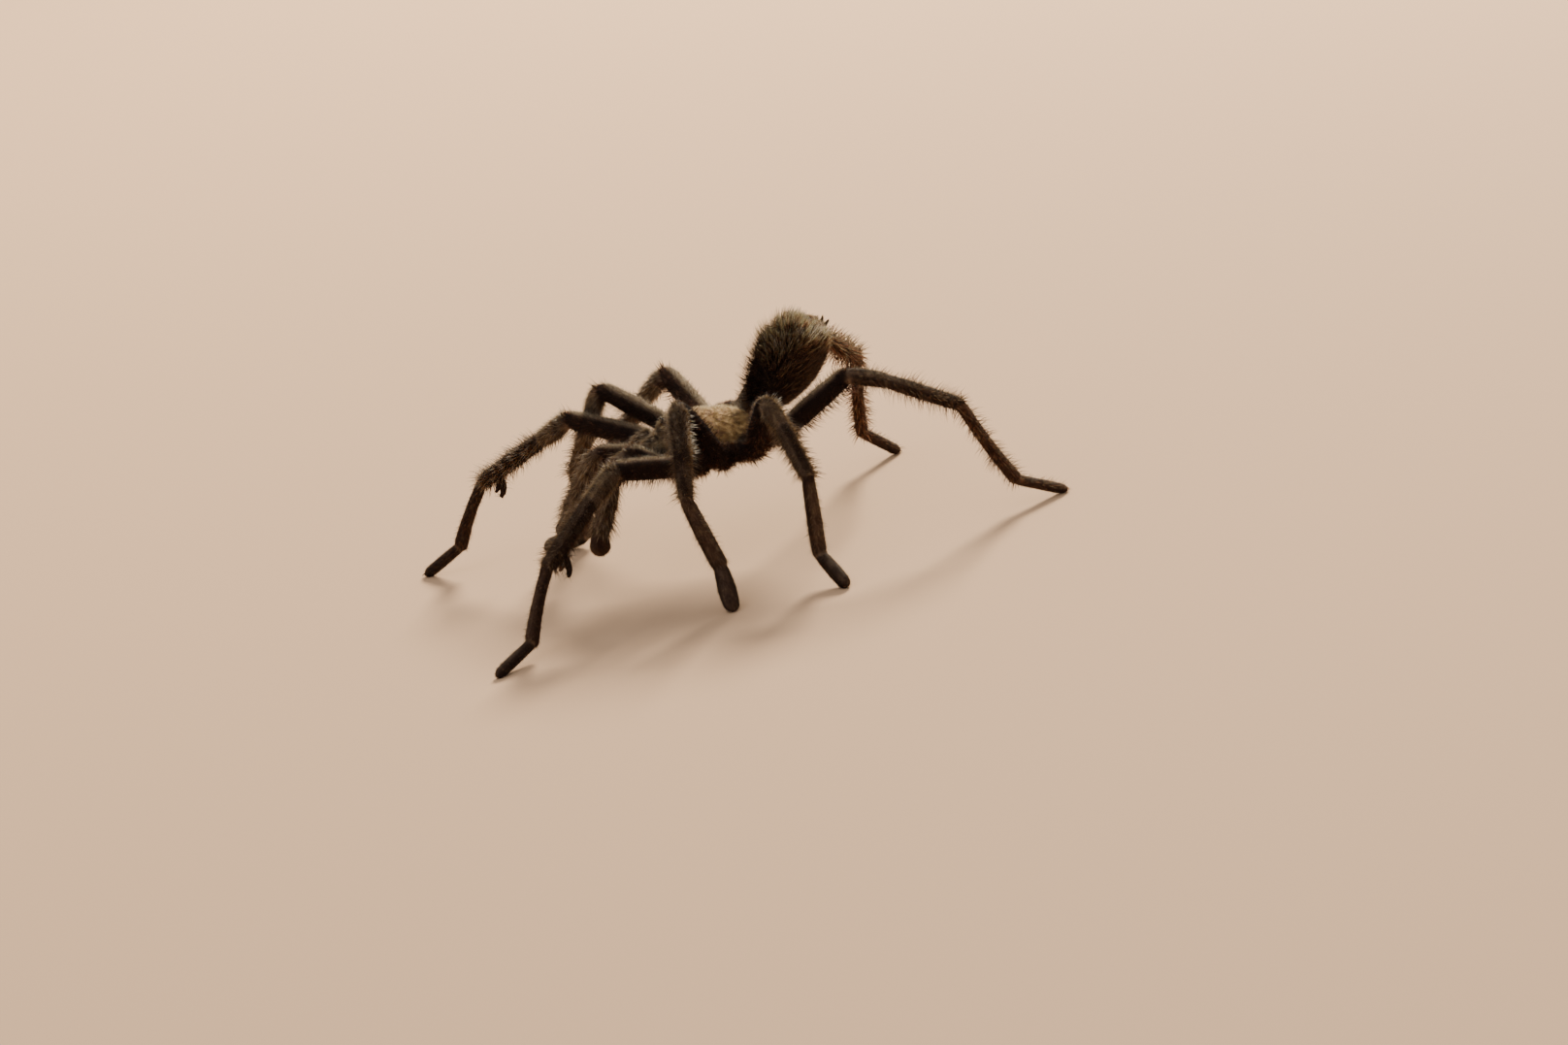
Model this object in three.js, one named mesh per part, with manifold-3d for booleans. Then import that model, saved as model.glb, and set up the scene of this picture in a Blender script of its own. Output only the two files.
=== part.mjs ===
// A mature male desert tarantula, life size, standing still in mid stride with its abdomen raised.
// Millimetres, +Z up. The animal faces -Y, its left side is +X, and its feet stand on z = 0.
// Every limb is one swept form, parted at its joints by thin cuts into named pieces.

import * as THREE from 'three';
import { mergeVertices } from 'three/addons/utils/BufferGeometryUtils.js';
import Module from 'manifold-3d';

const wasm = await Module();
wasm.setup();

// ---------------------------------------------------------------- driving dimensions

// The prosoma (head and chest) carries everything else.
const BODY_HEIGHT = 24.5;
const BODY_NOSE_DOWN = 3;
const BODY_ROLL_TO_LEFT = 8;

const CARAPACE = { length: 18.4, width: 15.8, rise: 4.8, rim: 0.5, base: 0.45, forward: 2.3 };
const STERNUM = { length: 12.8, width: 5.6, bottom: -4.4, forward: 0.6 };
const ABDOMEN = { length: 20.6, width: 12.8, height: 12.0, raised: 38, front: 8.5, lift: 0.4 };
const PEDICEL = { radius: 1.6, length: 2.0 };
const CHELICERA = { reach: 3.9, drop: 2.9, root: 1.3, halfWidth: 1.7, halfHeight: 2.5, spread: 1.85 };
const FANG = { length: 4.6, root: 0.55, tip: 0.12 };
const EYE_MOUND = { halfWidth: 1.25, halfLength: 0.95, height: 0.95, setBack: 1.9 };
const SPINNERET = { length: 1.4, root: 0.55, tip: 0.3, spread: 0.8, below: 1.4 };

// Segment lengths of the four pairs of legs, from the hip outwards.
const LEG_LENGTHS = {
  1: { femur: 18.0, patella: 8.0, tibia: 15.2, metatarsus: 14.0, tarsus: 10.2 },
  2: { femur: 16.4, patella: 7.4, tibia: 13.4, metatarsus: 13.6, tarsus: 9.0 },
  3: { femur: 14.4, patella: 6.5, tibia: 11.6, metatarsus: 14.6, tarsus: 9.4 },
  4: { femur: 17.6, patella: 7.2, tibia: 14.4, metatarsus: 18.8, tarsus: 11.0 },
};
const PALP_LENGTHS = { femur: 10.5, patella: 6.0, tibia: 10.0, tarsus: 4.2 };

// Where each limb leaves the body: sideways, forwards and up from the middle of the prosoma.
// The socket is where the coxa starts beside the sternum, the hip where the femur starts.
const SOCKETS = {
  palp: { socket: [1.7, 7.7, -2.1], hip: [5.2, 11.2, -2.6] },
  1: { socket: [3.0, 4.8, -2.2], hip: [8.0, 9.0, -2.0] },
  2: { socket: [3.8, 1.6, -2.3], hip: [10.3, 3.5, -2.5] },
  3: { socket: [3.8, -1.7, -2.3], hip: [10.3, -2.8, -2.5] },
  4: { socket: [2.9, -4.9, -2.2], hip: [8.4, -9.8, -1.9] },
};

// Limb radii at the start, middle and end of each segment, out to the close coat.
const UPPER_RADII = {
  coxa: [1.35, 1.75, 1.8],
  femur: [1.75, 2.0, 1.7],
  patella: [1.6, 1.7, 1.5],
  tibia: [1.45, 1.55, 1.4],
};
const LEG_RADII = {
  1: { ...UPPER_RADII, metatarsus: [1.15, 1.15, 1.4], tarsus: [1.0, 1.1, 1.0] },
  2: { ...UPPER_RADII, metatarsus: [1.35, 1.6, 1.65], tarsus: [1.3, 1.8, 1.3] },
  3: { ...UPPER_RADII, metatarsus: [1.25, 1.45, 1.45], tarsus: [1.2, 1.4, 1.2] },
  4: { ...UPPER_RADII, metatarsus: [1.15, 1.2, 1.35], tarsus: [1.05, 1.1, 1.05] },
};
const PALP_RADII = {
  coxa: [1.0, 1.3, 1.4],
  femur: [1.3, 1.5, 1.4],
  patella: [1.4, 1.5, 1.4],
  tibia: [1.4, 1.75, 1.65],
  tarsus: [1.55, 2.0, 1.75],
};

// The stance, in whole degrees. heading is the way the leg points, counted from straight
// sideways towards the head; lean tips the leg's plane; lift raises the femur; knee, shin and
// ankle bend the next segments down; sway turns the tibia sideways; foot turns the tarsus,
// whose slope follows from the height of the floor.
const STANCE = {
  left: {
    1: { heading: 71, lean: -7, lift: 16, knee: 40, shin: 7, sway: 3, ankle: 25, foot: -3 },
    2: { heading: 40, lean: -16, lift: 63, knee: 102, shin: 5, sway: 2, ankle: 49, foot: -28 },
    3: { heading: -3, lean: -1, lift: 49, knee: 88, shin: 3, sway: 6, ankle: 48, foot: -3 },
    4: { heading: -54, lean: -12, lift: 34, knee: 53, shin: 12, sway: -3, ankle: 38, foot: -35 },
    palp: { heading: 88, lean: 0, lift: 35, knee: 86, shin: 9, sway: -2, ankle: 18 },
  },
  right: {
    1: { heading: 40, lean: 5, lift: 16, knee: 43, shin: 1, sway: 3, ankle: 32, foot: 6 },
    2: { heading: 43, lean: -9, lift: 37, knee: 96, shin: 0, sway: -4, ankle: 24, foot: 26 },
    3: { heading: 20, lean: 23, lift: 33, knee: 76, shin: 7, sway: -1, ankle: 5, foot: -2 },
    4: { heading: -75, lean: 19, lift: 44, knee: 75, shin: 9, sway: 5, ankle: 40, foot: 3 },
    palp: { heading: 77, lean: -26, lift: 18, knee: 77, shin: 7, sway: 3, ankle: -1 },
  },
};

const PAD_DEPTH = 0.22; // how far a foot is pressed below the floor before its pad is cut flat
const JOINT_GAP = 0.2; // the thin cut between two segments
const BEND_RADIUS = 2.25; // of the axis round a joint, just over the limb's own radius
const LIMB_SIDES = 10;
const ARC_STEP = THREE.MathUtils.degToRad(20);
const MAX_SPAN = 5.6; // longest stretch of limb between two rings

// ---------------------------------------------------------------- materials

const material = (color, roughness) => new THREE.MeshStandardMaterial({ color, roughness, metalness: 0 });
const COAT_DARK = material(0x2e241b, 0.85);
const COAT_LEG = material(0x3d3022, 0.85);
const COAT_HIND_LEG = material(0x523722, 0.85);
const COAT_GOLD = material(0xa98656, 0.9);
const COAT_CHELICERA = material(0x5a4c3a, 0.9);
const HORN = material(0x120a07, 0.25);
const EYE = material(0x0b0a0c, 0.1);

// ---------------------------------------------------------------- small helpers

const rad = THREE.MathUtils.degToRad;
const vec = (x, y, z) => new THREE.Vector3(x, y, z);

// A value that runs smoothly through a start, a middle and an end value as t goes from 0 to 1.
const throughThree = (t, [start, middle, end]) =>
  start * (1 - t) * (1 - 2 * t) + middle * 4 * t * (1 - t) + end * t * (2 * t - 1);

// A closed skin over a row of rings with equal numbers of points, capped flat at both ends.
// Rings run anticlockwise when seen from the end of the row.
function ringsToGeometry(rings) {
  const sides = rings[0].length;
  const positions = rings.flat().flatMap((point) => [point.x, point.y, point.z]);
  const index = [];
  for (let row = 0; row < rings.length - 1; row += 1) {
    for (let side = 0; side < sides; side += 1) {
      const a = row * sides + side;
      const b = row * sides + ((side + 1) % sides);
      index.push(a, b, b + sides, a, b + sides, a + sides);
    }
  }
  const last = (rings.length - 1) * sides;
  for (let side = 1; side < sides - 1; side += 1) {
    index.push(0, side + 1, side);
    index.push(last, last + side, last + side + 1);
  }
  const geometry = new THREE.BufferGeometry();
  geometry.setAttribute('position', new THREE.Float32BufferAttribute(positions, 3));
  geometry.setIndex(index);
  return geometry;
}

// A ring round an axis: across is its sideways half axis, upward the other, both as vectors.
function ellipseRing(centre, across, upward, sides) {
  const ring = [];
  for (let side = 0; side < sides; side += 1) {
    const angle = (2 * Math.PI * (side + 0.5)) / sides;
    ring.push(
      centre.clone().addScaledVector(across, Math.cos(angle)).addScaledVector(upward, Math.sin(angle)),
    );
  }
  return ring;
}

function toManifold(geometry) {
  const bare = geometry.clone();
  bare.deleteAttribute('normal');
  bare.deleteAttribute('uv');
  const merged = mergeVertices(bare, 1e-4);
  const vertProperties = Float32Array.from(merged.attributes.position.array);
  const triVerts = Uint32Array.from(merged.index.array);
  return new wasm.Manifold(new wasm.Mesh({ numProp: 3, vertProperties, triVerts }));
}

function fromManifold(solid) {
  const mesh = solid.getMesh();
  const geometry = new THREE.BufferGeometry();
  geometry.setAttribute('position', new THREE.Float32BufferAttribute(mesh.vertProperties, 3));
  geometry.setIndex(Array.from(mesh.triVerts));
  return geometry;
}

function namedMesh(name, geometry, finish) {
  const mesh = new THREE.Mesh(geometry, finish);
  mesh.name = name;
  return mesh;
}

// ---------------------------------------------------------------- limbs

const LEFT = { name: 'left', sign: 1 };
const RIGHT = { name: 'right', sign: -1 };
const SIDES = [LEFT, RIGHT];

// The trunk carries the head and abdomen, and says where each hip is in the standing animal.
const trunk = new THREE.Group();
trunk.position.set(0, 0, BODY_HEIGHT);
trunk.quaternion
  .setFromAxisAngle(vec(1, 0, 0), rad(BODY_NOSE_DOWN))
  .multiply(new THREE.Quaternion().setFromAxisAngle(vec(0, 1, 0), rad(BODY_ROLL_TO_LEFT)));
trunk.updateMatrixWorld(true);

function onTrunk(side, [sideways, forwards, upwards]) {
  return vec(side.sign * sideways, -forwards, upwards).applyMatrix4(trunk.matrixWorld);
}

// The points where the axis of a limb turns: socket, hip, knee, shin, ankle, heel and tip. The
// tip of a leg is set at a height above the floor; a palp, which has none, is held clear of it.
function limbCorners(side, pair, tipHeight) {
  const stance = STANCE[side.name][pair];
  const lengths = pair === 'palp' ? PALP_LENGTHS : LEG_LENGTHS[pair];
  const turn = new THREE.Quaternion();
  const about = (x, y, z, degrees) =>
    turn.multiply(new THREE.Quaternion().setFromAxisAngle(vec(x, y, z), rad(degrees)));
  const corners = [onTrunk(side, SOCKETS[pair].socket), onTrunk(side, SOCKETS[pair].hip)];
  const step = (length) => {
    const way = vec(1, 0, 0).applyQuaternion(turn);
    way.x *= side.sign;
    corners.push(corners.at(-1).clone().addScaledVector(way, length));
  };
  about(0, 0, 1, -stance.heading);
  about(1, 0, 0, -stance.lean);
  about(0, 1, 0, -stance.lift);
  step(lengths.femur);
  about(0, 1, 0, stance.knee);
  step(lengths.patella);
  about(0, 1, 0, stance.shin);
  about(0, 0, 1, -stance.sway);
  step(lengths.tibia);
  about(0, 1, 0, stance.ankle);
  if (tipHeight === undefined) {
    step(lengths.tarsus);
    return corners;
  }
  step(lengths.metatarsus);
  const heel = corners.at(-1);
  const drop = heel.z - tipHeight;
  const reach = Math.sqrt(lengths.tarsus ** 2 - drop ** 2);
  const way = rad(stance.heading + stance.foot);
  corners.push(vec(heel.x + side.sign * reach * Math.cos(way), heel.y - reach * Math.sin(way), tipHeight));
  return corners;
}

// The axis of each segment, from the middle of the bend at its start to the middle of the bend
// at its end, as a row of stations. Every bend is an arc, so the limb is one smooth form.
function limbStations(corners, bendRadius) {
  const ways = corners.slice(1).map((corner, i) => corner.clone().sub(corners[i]).normalize());
  const spans = corners.slice(1).map((corner, i) => corner.distanceTo(corners[i]));
  const bends = ways.slice(1).map((way, i) => {
    const angle = ways[i].angleTo(way);
    const setback = Math.min(bendRadius * Math.tan(angle / 2), 0.45 * spans[i], 0.45 * spans[i + 1]);
    return { angle, setback, corner: corners[i + 1], before: ways[i], after: way };
  });
  // A station on a bend, where u is 0 at its start, 1/2 in its middle and 1 at its end.
  const onBend = (bend, u) => {
    const axis = bend.before.clone().cross(bend.after).normalize();
    const tangent = bend.before.clone().applyAxisAngle(axis, bend.angle * u);
    if (bend.angle < 1e-3) return { position: bend.corner.clone(), tangent };
    const radius = bend.setback / Math.tan(bend.angle / 2);
    const inward = axis.clone().cross(bend.before);
    const position = bend.corner
      .clone()
      .addScaledVector(bend.before, -bend.setback + radius * Math.sin(bend.angle * u))
      .addScaledVector(inward, radius * (1 - Math.cos(bend.angle * u)));
    return { position, tangent };
  };
  return ways.map((way, i) => {
    const stations = [];
    const entry = bends[i - 1];
    const exit = bends[i];
    const from = entry ? onBend(entry, 1).position : corners[i].clone();
    const to = exit ? onBend(exit, 0).position : corners[i + 1].clone();
    if (entry) {
      const steps = Math.ceil(entry.angle / 2 / ARC_STEP);
      for (let k = 0; k < steps; k += 1) stations.push(onBend(entry, 0.5 + (0.5 * k) / steps));
    }
    const straight = Math.max(1, Math.ceil(from.distanceTo(to) / MAX_SPAN));
    for (let k = 0; k <= straight; k += 1) {
      stations.push({ position: from.clone().lerp(to, k / straight), tangent: way.clone() });
    }
    if (exit) {
      const steps = Math.ceil(exit.angle / 2 / ARC_STEP);
      for (let k = 1; k <= steps; k += 1) stations.push(onBend(exit, (0.5 * k) / steps));
    }
    return stations;
  });
}

// A segment without the stations that lie so near its ends that the joint gap would pass them.
function clearOfEnds(stations) {
  const ends = [stations[0], stations[stations.length - 1]];
  return stations.filter((station) => ends.includes(station)
    || ends.every((end) => station.position.distanceTo(end.position) > JOINT_GAP));
}

// How far along its segment each station is, from 0 to 1.
function measured(stations) {
  let travelled = 0;
  const distances = stations.map((station, i) => {
    if (i > 0) travelled += station.position.distanceTo(stations[i - 1].position);
    return travelled;
  });
  return stations.map((station, i) => ({ ...station, along: distances[i] / travelled }));
}

// The sideways direction of a limb, square to the plane in which it bends.
function hingeAxis(corners) {
  const axis = vec(0, 0, 0);
  for (let i = 1; i < corners.length - 2; i += 1) {
    const before = corners[i + 1].clone().sub(corners[i]).normalize();
    const after = corners[i + 2].clone().sub(corners[i + 1]).normalize();
    axis.add(before.cross(after));
  }
  return axis.normalize();
}

const ROUNDNESS = 1 / Math.cos(Math.PI / LIMB_SIDES) ** 0.5; // keeps a ten-sided limb as full as a round one
const DEEPER = 1.05; // limbs are a little deeper than wide

// The share of the last segment that rounds off to its tip: a blunt foot, and a palp's round bulb.
const FOOT_ROUNDING = 0.16;
const PALP_ROUNDING = 0.45;

function stationRing(station, hinge, radius) {
  const across = hinge.clone().addScaledVector(station.tangent, -hinge.dot(station.tangent)).normalize();
  const upward = station.tangent.clone().cross(across);
  const size = radius * ROUNDNESS;
  return ellipseRing(
    station.position,
    across.multiplyScalar(size / DEEPER),
    upward.multiplyScalar(size * DEEPER),
    LIMB_SIDES,
  );
}

// One named piece of a limb: its stretches follow on from each other. It is cut back by half the
// joint gap at both ends, or rounds off to a tip over the last share of its length.
function limbPiece(stretches, hinge, tipRounding = 0) {
  const rings = [];
  stretches.forEach(({ stations, radii }, which) => {
    const row = measured(clearOfEnds(stations));
    const isFirst = which === 0;
    const isLast = which === stretches.length - 1;
    row.forEach((station, i) => {
      if (!isFirst && i === 0) return;
      const place = { ...station, position: station.position.clone() };
      if (isFirst && i === 0) place.position.addScaledVector(station.tangent, JOINT_GAP / 2);
      const endsHere = isLast && i === row.length - 1;
      if (endsHere && tipRounding > 0) return;
      if (endsHere) place.position.addScaledVector(station.tangent, -JOINT_GAP / 2);
      rings.push(stationRing(place, hinge, throughThree(station.along, radii)));
    });
    if (isLast && tipRounding > 0) rings.push(...tipRings(row, hinge, radii, tipRounding));
  });
  return ringsToGeometry(rings);
}

// The last rings of a foot or palp, which close in on a quarter of an ellipse.
function tipRings(row, hinge, radii, tipRounding) {
  const last = row.at(-1);
  const before = row.at(-2);
  const rounding = tipRounding / (1 - before.along);
  return [0, 0.45, 0.8, 0.97].map((u) => {
    const position = last.position.clone().lerp(before.position, rounding * (1 - u));
    const radius = throughThree(1 - tipRounding * (1 - u), radii) * Math.sqrt(1 - u ** 2);
    return stationRing({ position, tangent: last.tangent }, hinge, radius);
  });
}

// A bent, tapering horn: a spur, a fang or a spinneret.
function taperedHorn(curve, rootRadius, tipRadius, sides, steps) {
  const rings = [];
  const frames = curve.computeFrenetFrames(steps, false);
  for (let i = 0; i <= steps; i += 1) {
    const radius = THREE.MathUtils.lerp(rootRadius, tipRadius, i / steps);
    const across = frames.normals[i].clone().multiplyScalar(radius);
    const upward = frames.binormals[i].clone().multiplyScalar(radius);
    rings.push(ellipseRing(curve.getPointAt(i / steps), across, upward, sides));
  }
  return ringsToGeometry(rings);
}

// The two mating spurs of a mature male, under the far end of the first tibia.
const SPURS = [
  { lateral: 1, reach: 4.2, length: 2.0, root: 0.95, tip: 0.42 },
  { lateral: -1, reach: 3.2, length: 1.4, root: 0.7, tip: 0.32 },
];
const SPUR_PLACE = 0.8; // of the way along the tibia

function withSpurs(geometry, shinStations, hinge, side) {
  const row = measured(shinStations);
  const next = row.findIndex((each) => each.along >= SPUR_PLACE);
  const share = (SPUR_PLACE - row[next - 1].along) / (row[next].along - row[next - 1].along);
  const station = {
    position: row[next - 1].position.clone().lerp(row[next].position, share),
    tangent: row[next].tangent,
  };
  const dorsal = station.tangent.clone().cross(hinge).normalize();
  let solid = toManifold(geometry);
  for (const spur of SPURS) {
    const sideways = hinge.clone().multiplyScalar(spur.lateral * side.sign);
    const place = (along, down, out) => station.position
      .clone()
      .addScaledVector(station.tangent, along)
      .addScaledVector(dorsal, -down)
      .addScaledVector(sideways, out);
    const curve = new THREE.QuadraticBezierCurve3(
      place(-0.6, 0.5, 0.4),
      place(0.1, spur.reach, 0.8),
      place(spur.length, spur.reach, 0.9),
    );
    solid = solid.add(toManifold(taperedHorn(curve, spur.root, spur.tip, 8, 4)));
  }
  return fromManifold(solid);
}

// The floor cuts each foot's pad flat.
const FLOOR_BLOCK = new THREE.BoxGeometry(400, 400, 20);
FLOOR_BLOCK.translate(0, 0, -10);
const floorSolid = toManifold(FLOOR_BLOCK);
const PAD_ROUNDS = 4;

// The form of a leg whose foot is pressed into the floor by the depth of its pad: the tip of its
// axis is lowered until it is.
function legForm(side, pair) {
  const radii = LEG_RADII[pair].tarsus;
  let tipHeight = radii[2];
  for (let round = 0; ; round += 1) {
    const corners = limbCorners(side, pair, tipHeight);
    const hinge = hingeAxis(corners);
    const segments = limbStations(corners, BEND_RADIUS);
    const foot = limbPiece([{ stations: segments[5], radii }], hinge, FOOT_ROUNDING);
    foot.computeBoundingBox();
    if (round === PAD_ROUNDS) return { hinge, segments, foot };
    tipHeight -= foot.boundingBox.min.z + PAD_DEPTH;
  }
}

// How far the middle of each pair's metatarsus is bowed towards its back.
const METATARSUS_BOW = { 1: 0.4, 2: 0.2, 3: 0, 4: -0.45 };

function bowed(stations, hinge, bow) {
  return measured(stations).map(({ position, tangent, along }) => {
    const dorsal = tangent.clone().cross(hinge).normalize();
    return { position: position.clone().addScaledVector(dorsal, bow * Math.sin(Math.PI * along)), tangent };
  });
}

function legMeshes(side, pair) {
  const { hinge, segments, foot } = legForm(side, pair);
  const [coxa, femur, patella, tibia, metatarsus] = segments;
  const piece = (names, stretches) => limbPiece(
    stretches.map((stations, i) => ({ stations, radii: LEG_RADII[pair][names[i]] })), hinge);
  let shin = piece(['patella', 'tibia'], [patella, tibia]);
  if (pair === 1) shin = withSpurs(shin, tibia, hinge, side);
  const finish = pair === 4 ? COAT_HIND_LEG : COAT_LEG;
  const named = (part, geometry) => namedMesh(`leg_${side.name}_${pair}_${part}`, geometry, finish);
  return [
    named('coxa', piece(['coxa'], [coxa])),
    named('femur', piece(['femur'], [femur])),
    named('tibia', shin),
    named('metatarsus', piece(['metatarsus'], [bowed(metatarsus, hinge, METATARSUS_BOW[pair])])),
    named('tarsus', fromManifold(toManifold(foot).subtract(floorSolid))),
  ];
}

function palpMeshes(side) {
  const corners = limbCorners(side, 'palp');
  const hinge = hingeAxis(corners);
  const [coxa, femur, patella, tibia, tarsus] = limbStations(corners, BEND_RADIUS);
  const piece = (names, stretches, tipRounding) => limbPiece(
    stretches.map((stations, i) => ({ stations, radii: PALP_RADII[names[i]] })), hinge, tipRounding);
  const named = (part, geometry) => namedMesh(`palp_${side.name}_${part}`, geometry, COAT_LEG);
  return [
    named('coxa', piece(['coxa'], [coxa])),
    named('femur', piece(['femur'], [femur])),
    named('tibia', piece(['patella', 'tibia'], [patella, tibia])),
    named('tarsus', piece(['tarsus'], [tarsus], PALP_ROUNDING)),
  ];
}

// ---------------------------------------------------------------- head, chest and abdomen

// Half the carapace's width, from its front edge at v = -1 to its rear edge at v = 1: blunt in
// front, pinched behind the head and widest just behind the middle.
function carapaceHalfWidth(v) {
  const pinch = 0.2 * Math.exp(-(((v + 0.58) / 0.34) ** 2));
  return (CARAPACE.width / 2) * (1 - v * v) ** 0.4 * (1 - pinch);
}

// The height of its crest: highest over the head, sloping down towards the abdomen.
const carapaceCrest = (v) => 1 - 0.6 * THREE.MathUtils.smoothstep(v, -0.75, 0.9);

const CARAPACE_FRONT = -CARAPACE.length / 2 - CARAPACE.forward;
const CARAPACE_SIDES = 28;
const CARAPACE_RINGS = [1, 0.95, 0.84, 0.66, 0.42, 0.16];

// How squarely the dome turns down to its rim: steep over the face, gentler all round the back.
const domeSquareness = (v) => 2.1 + 4.5 * Math.max(0, -v) ** 4;

function carapaceGeometry() {
  const half = CARAPACE.length / 2;
  const ring = (scale, heightOf) => {
    const points = [];
    for (let side = 0; side < CARAPACE_SIDES; side += 1) {
      const angle = (2 * Math.PI * (side + 0.5)) / CARAPACE_SIDES;
      const v = -Math.cos(angle);
      const x = -carapaceHalfWidth(v) * Math.sign(Math.sin(angle));
      points.push(vec(scale * x, scale * v * half - CARAPACE.forward, heightOf(v)));
    }
    return points.reverse();
  };
  const top = CARAPACE_RINGS.map((scale) => ring(scale, (v) =>
    CARAPACE.base
    + CARAPACE.rise * carapaceCrest(scale * v) * (1 - scale ** domeSquareness(v)) ** 0.6));
  const bottom = [0.6, 0.97].map((scale) => ring(scale, () => CARAPACE.base - CARAPACE.rim));
  return ringsToGeometry([...bottom, ...top]);
}

// The sternum and the core of the chest above it, between the coxae.
function sternumGeometry() {
  const level = (height, scale) => ellipseRing(
    vec(0, -STERNUM.forward, height),
    vec((STERNUM.width / 2) * scale, 0, 0),
    vec(0, (STERNUM.length / 2) * scale, 0),
    16,
  );
  return ringsToGeometry([
    level(STERNUM.bottom, 0.7),
    level(STERNUM.bottom + 0.6, 1),
    level(CARAPACE.base - CARAPACE.rim - JOINT_GAP, 1),
  ]);
}

// The abdomen is an egg on its own axis, a little wider than deep and fullest past the middle.
const ABDOMEN_RINGS = 13;
const ABDOMEN_SIDES = 20;
const eggRadius = (t) => (4 * t * (1 - t)) ** 0.46 * (0.86 + 0.24 * t);

function abdomenGeometry() {
  const profile = [];
  for (let i = 0; i <= ABDOMEN_RINGS; i += 1) {
    const t = (1 - Math.cos((Math.PI * i) / ABDOMEN_RINGS)) / 2;
    const radius = i === 0 || i === ABDOMEN_RINGS ? 0 : eggRadius(t) / 2;
    profile.push(new THREE.Vector2(radius, t * ABDOMEN.length));
  }
  const geometry = new THREE.LatheGeometry(profile, ABDOMEN_SIDES);
  geometry.scale(ABDOMEN.width, 1, ABDOMEN.height);
  return geometry;
}

// A chelicera: deep, narrow and fuzzy, reaching forward from under the front of the carapace
// and turning down to the root of its fang.
function cheliceraCurve(side) {
  const x = side.sign * CHELICERA.spread;
  const front = CARAPACE_FRONT - JOINT_GAP - 0.1;
  return new THREE.QuadraticBezierCurve3(
    vec(x, front, CHELICERA.root),
    vec(x, front - 0.62 * CHELICERA.reach, 0.9 * CHELICERA.root),
    vec(x * 1.02, front - CHELICERA.reach, CHELICERA.root - CHELICERA.drop),
  );
}

function cheliceraGeometry(side) {
  const curve = cheliceraCurve(side);
  const steps = 8;
  const rings = [];
  for (let i = 0; i <= steps; i += 1) {
    const t = i / steps;
    const swell = 0.72 + 0.28 * Math.sin(Math.PI * Math.min(1, t * 1.25 + 0.12));
    const close = Math.sqrt(1 - (0.93 * Math.max(0, (t - 0.55) / 0.45)) ** 2);
    const tangent = curve.getTangentAt(t);
    const across = vec(-CHELICERA.halfWidth * (0.85 + 0.15 * swell) * close, 0, 0);
    const upward = tangent.clone().cross(vec(-1, 0, 0)).multiplyScalar(CHELICERA.halfHeight * swell * close);
    rings.push(ellipseRing(curve.getPointAt(t), across, upward, 14));
  }
  return ringsToGeometry(rings);
}

// The fang folds back under its chelicera.
function fangGeometry(side) {
  const tip = cheliceraCurve(side).getPointAt(1);
  const curve = new THREE.QuadraticBezierCurve3(
    tip.clone().add(vec(0, 0.3, -1.2)),
    tip.clone().add(vec(-side.sign * 0.1, 0.7, -1.5 - 0.3 * FANG.length)),
    tip.clone().add(vec(-side.sign * 0.4, 0.8 * FANG.length, -1.3 - 0.3 * FANG.length)),
  );
  return taperedHorn(curve, FANG.root, FANG.tip, 8, 6);
}

// The mound in the middle of the head with the eight eyes joined to it: a large pair looking
// up and out, a pair in front, and a small pair behind on each side.
const EYES = [
  { across: 0.48, back: -0.05, radius: 0.3 },
  { across: 0.85, back: -0.55, radius: 0.26 },
  { across: 0.98, back: 0.3, radius: 0.24 },
  { across: 0.68, back: 0.5, radius: 0.17 },
];

function eyeMoundGeometry(carapace) {
  const front = CARAPACE_FRONT + EYE_MOUND.setBack;
  const crest = CARAPACE.base + CARAPACE.rise * 0.84;
  const dome = new THREE.SphereGeometry(1, 12, 8);
  dome.scale(EYE_MOUND.halfWidth, EYE_MOUND.halfLength, EYE_MOUND.height);
  dome.translate(0, front, crest);
  let solid = toManifold(dome);
  for (const { across, back, radius } of EYES) {
    for (const side of SIDES) {
      const lift = EYE_MOUND.height * Math.sqrt(
        Math.max(0.05, 1 - (across / EYE_MOUND.halfWidth) ** 2 - (back / EYE_MOUND.halfLength) ** 2));
      const eye = new THREE.SphereGeometry(radius, 6, 4);
      eye.translate(side.sign * across, front + back, crest + lift * 0.93);
      solid = solid.add(toManifold(eye));
    }
  }
  const sunk = toManifold(carapace).translate([0, 0, JOINT_GAP / 2]);
  return fromManifold(solid.subtract(sunk));
}

function spinneretGeometry(side) {
  const x = side.sign * SPINNERET.spread;
  const end = ABDOMEN.length;
  const curve = new THREE.QuadraticBezierCurve3(
    vec(x, end, -SPINNERET.below),
    vec(x * 1.3, end + 0.5 * SPINNERET.length, -SPINNERET.below),
    vec(x * 1.8, end + SPINNERET.length, -0.7 * SPINNERET.below),
  );
  return taperedHorn(curve, SPINNERET.root, SPINNERET.tip, 8, 4);
}

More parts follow.
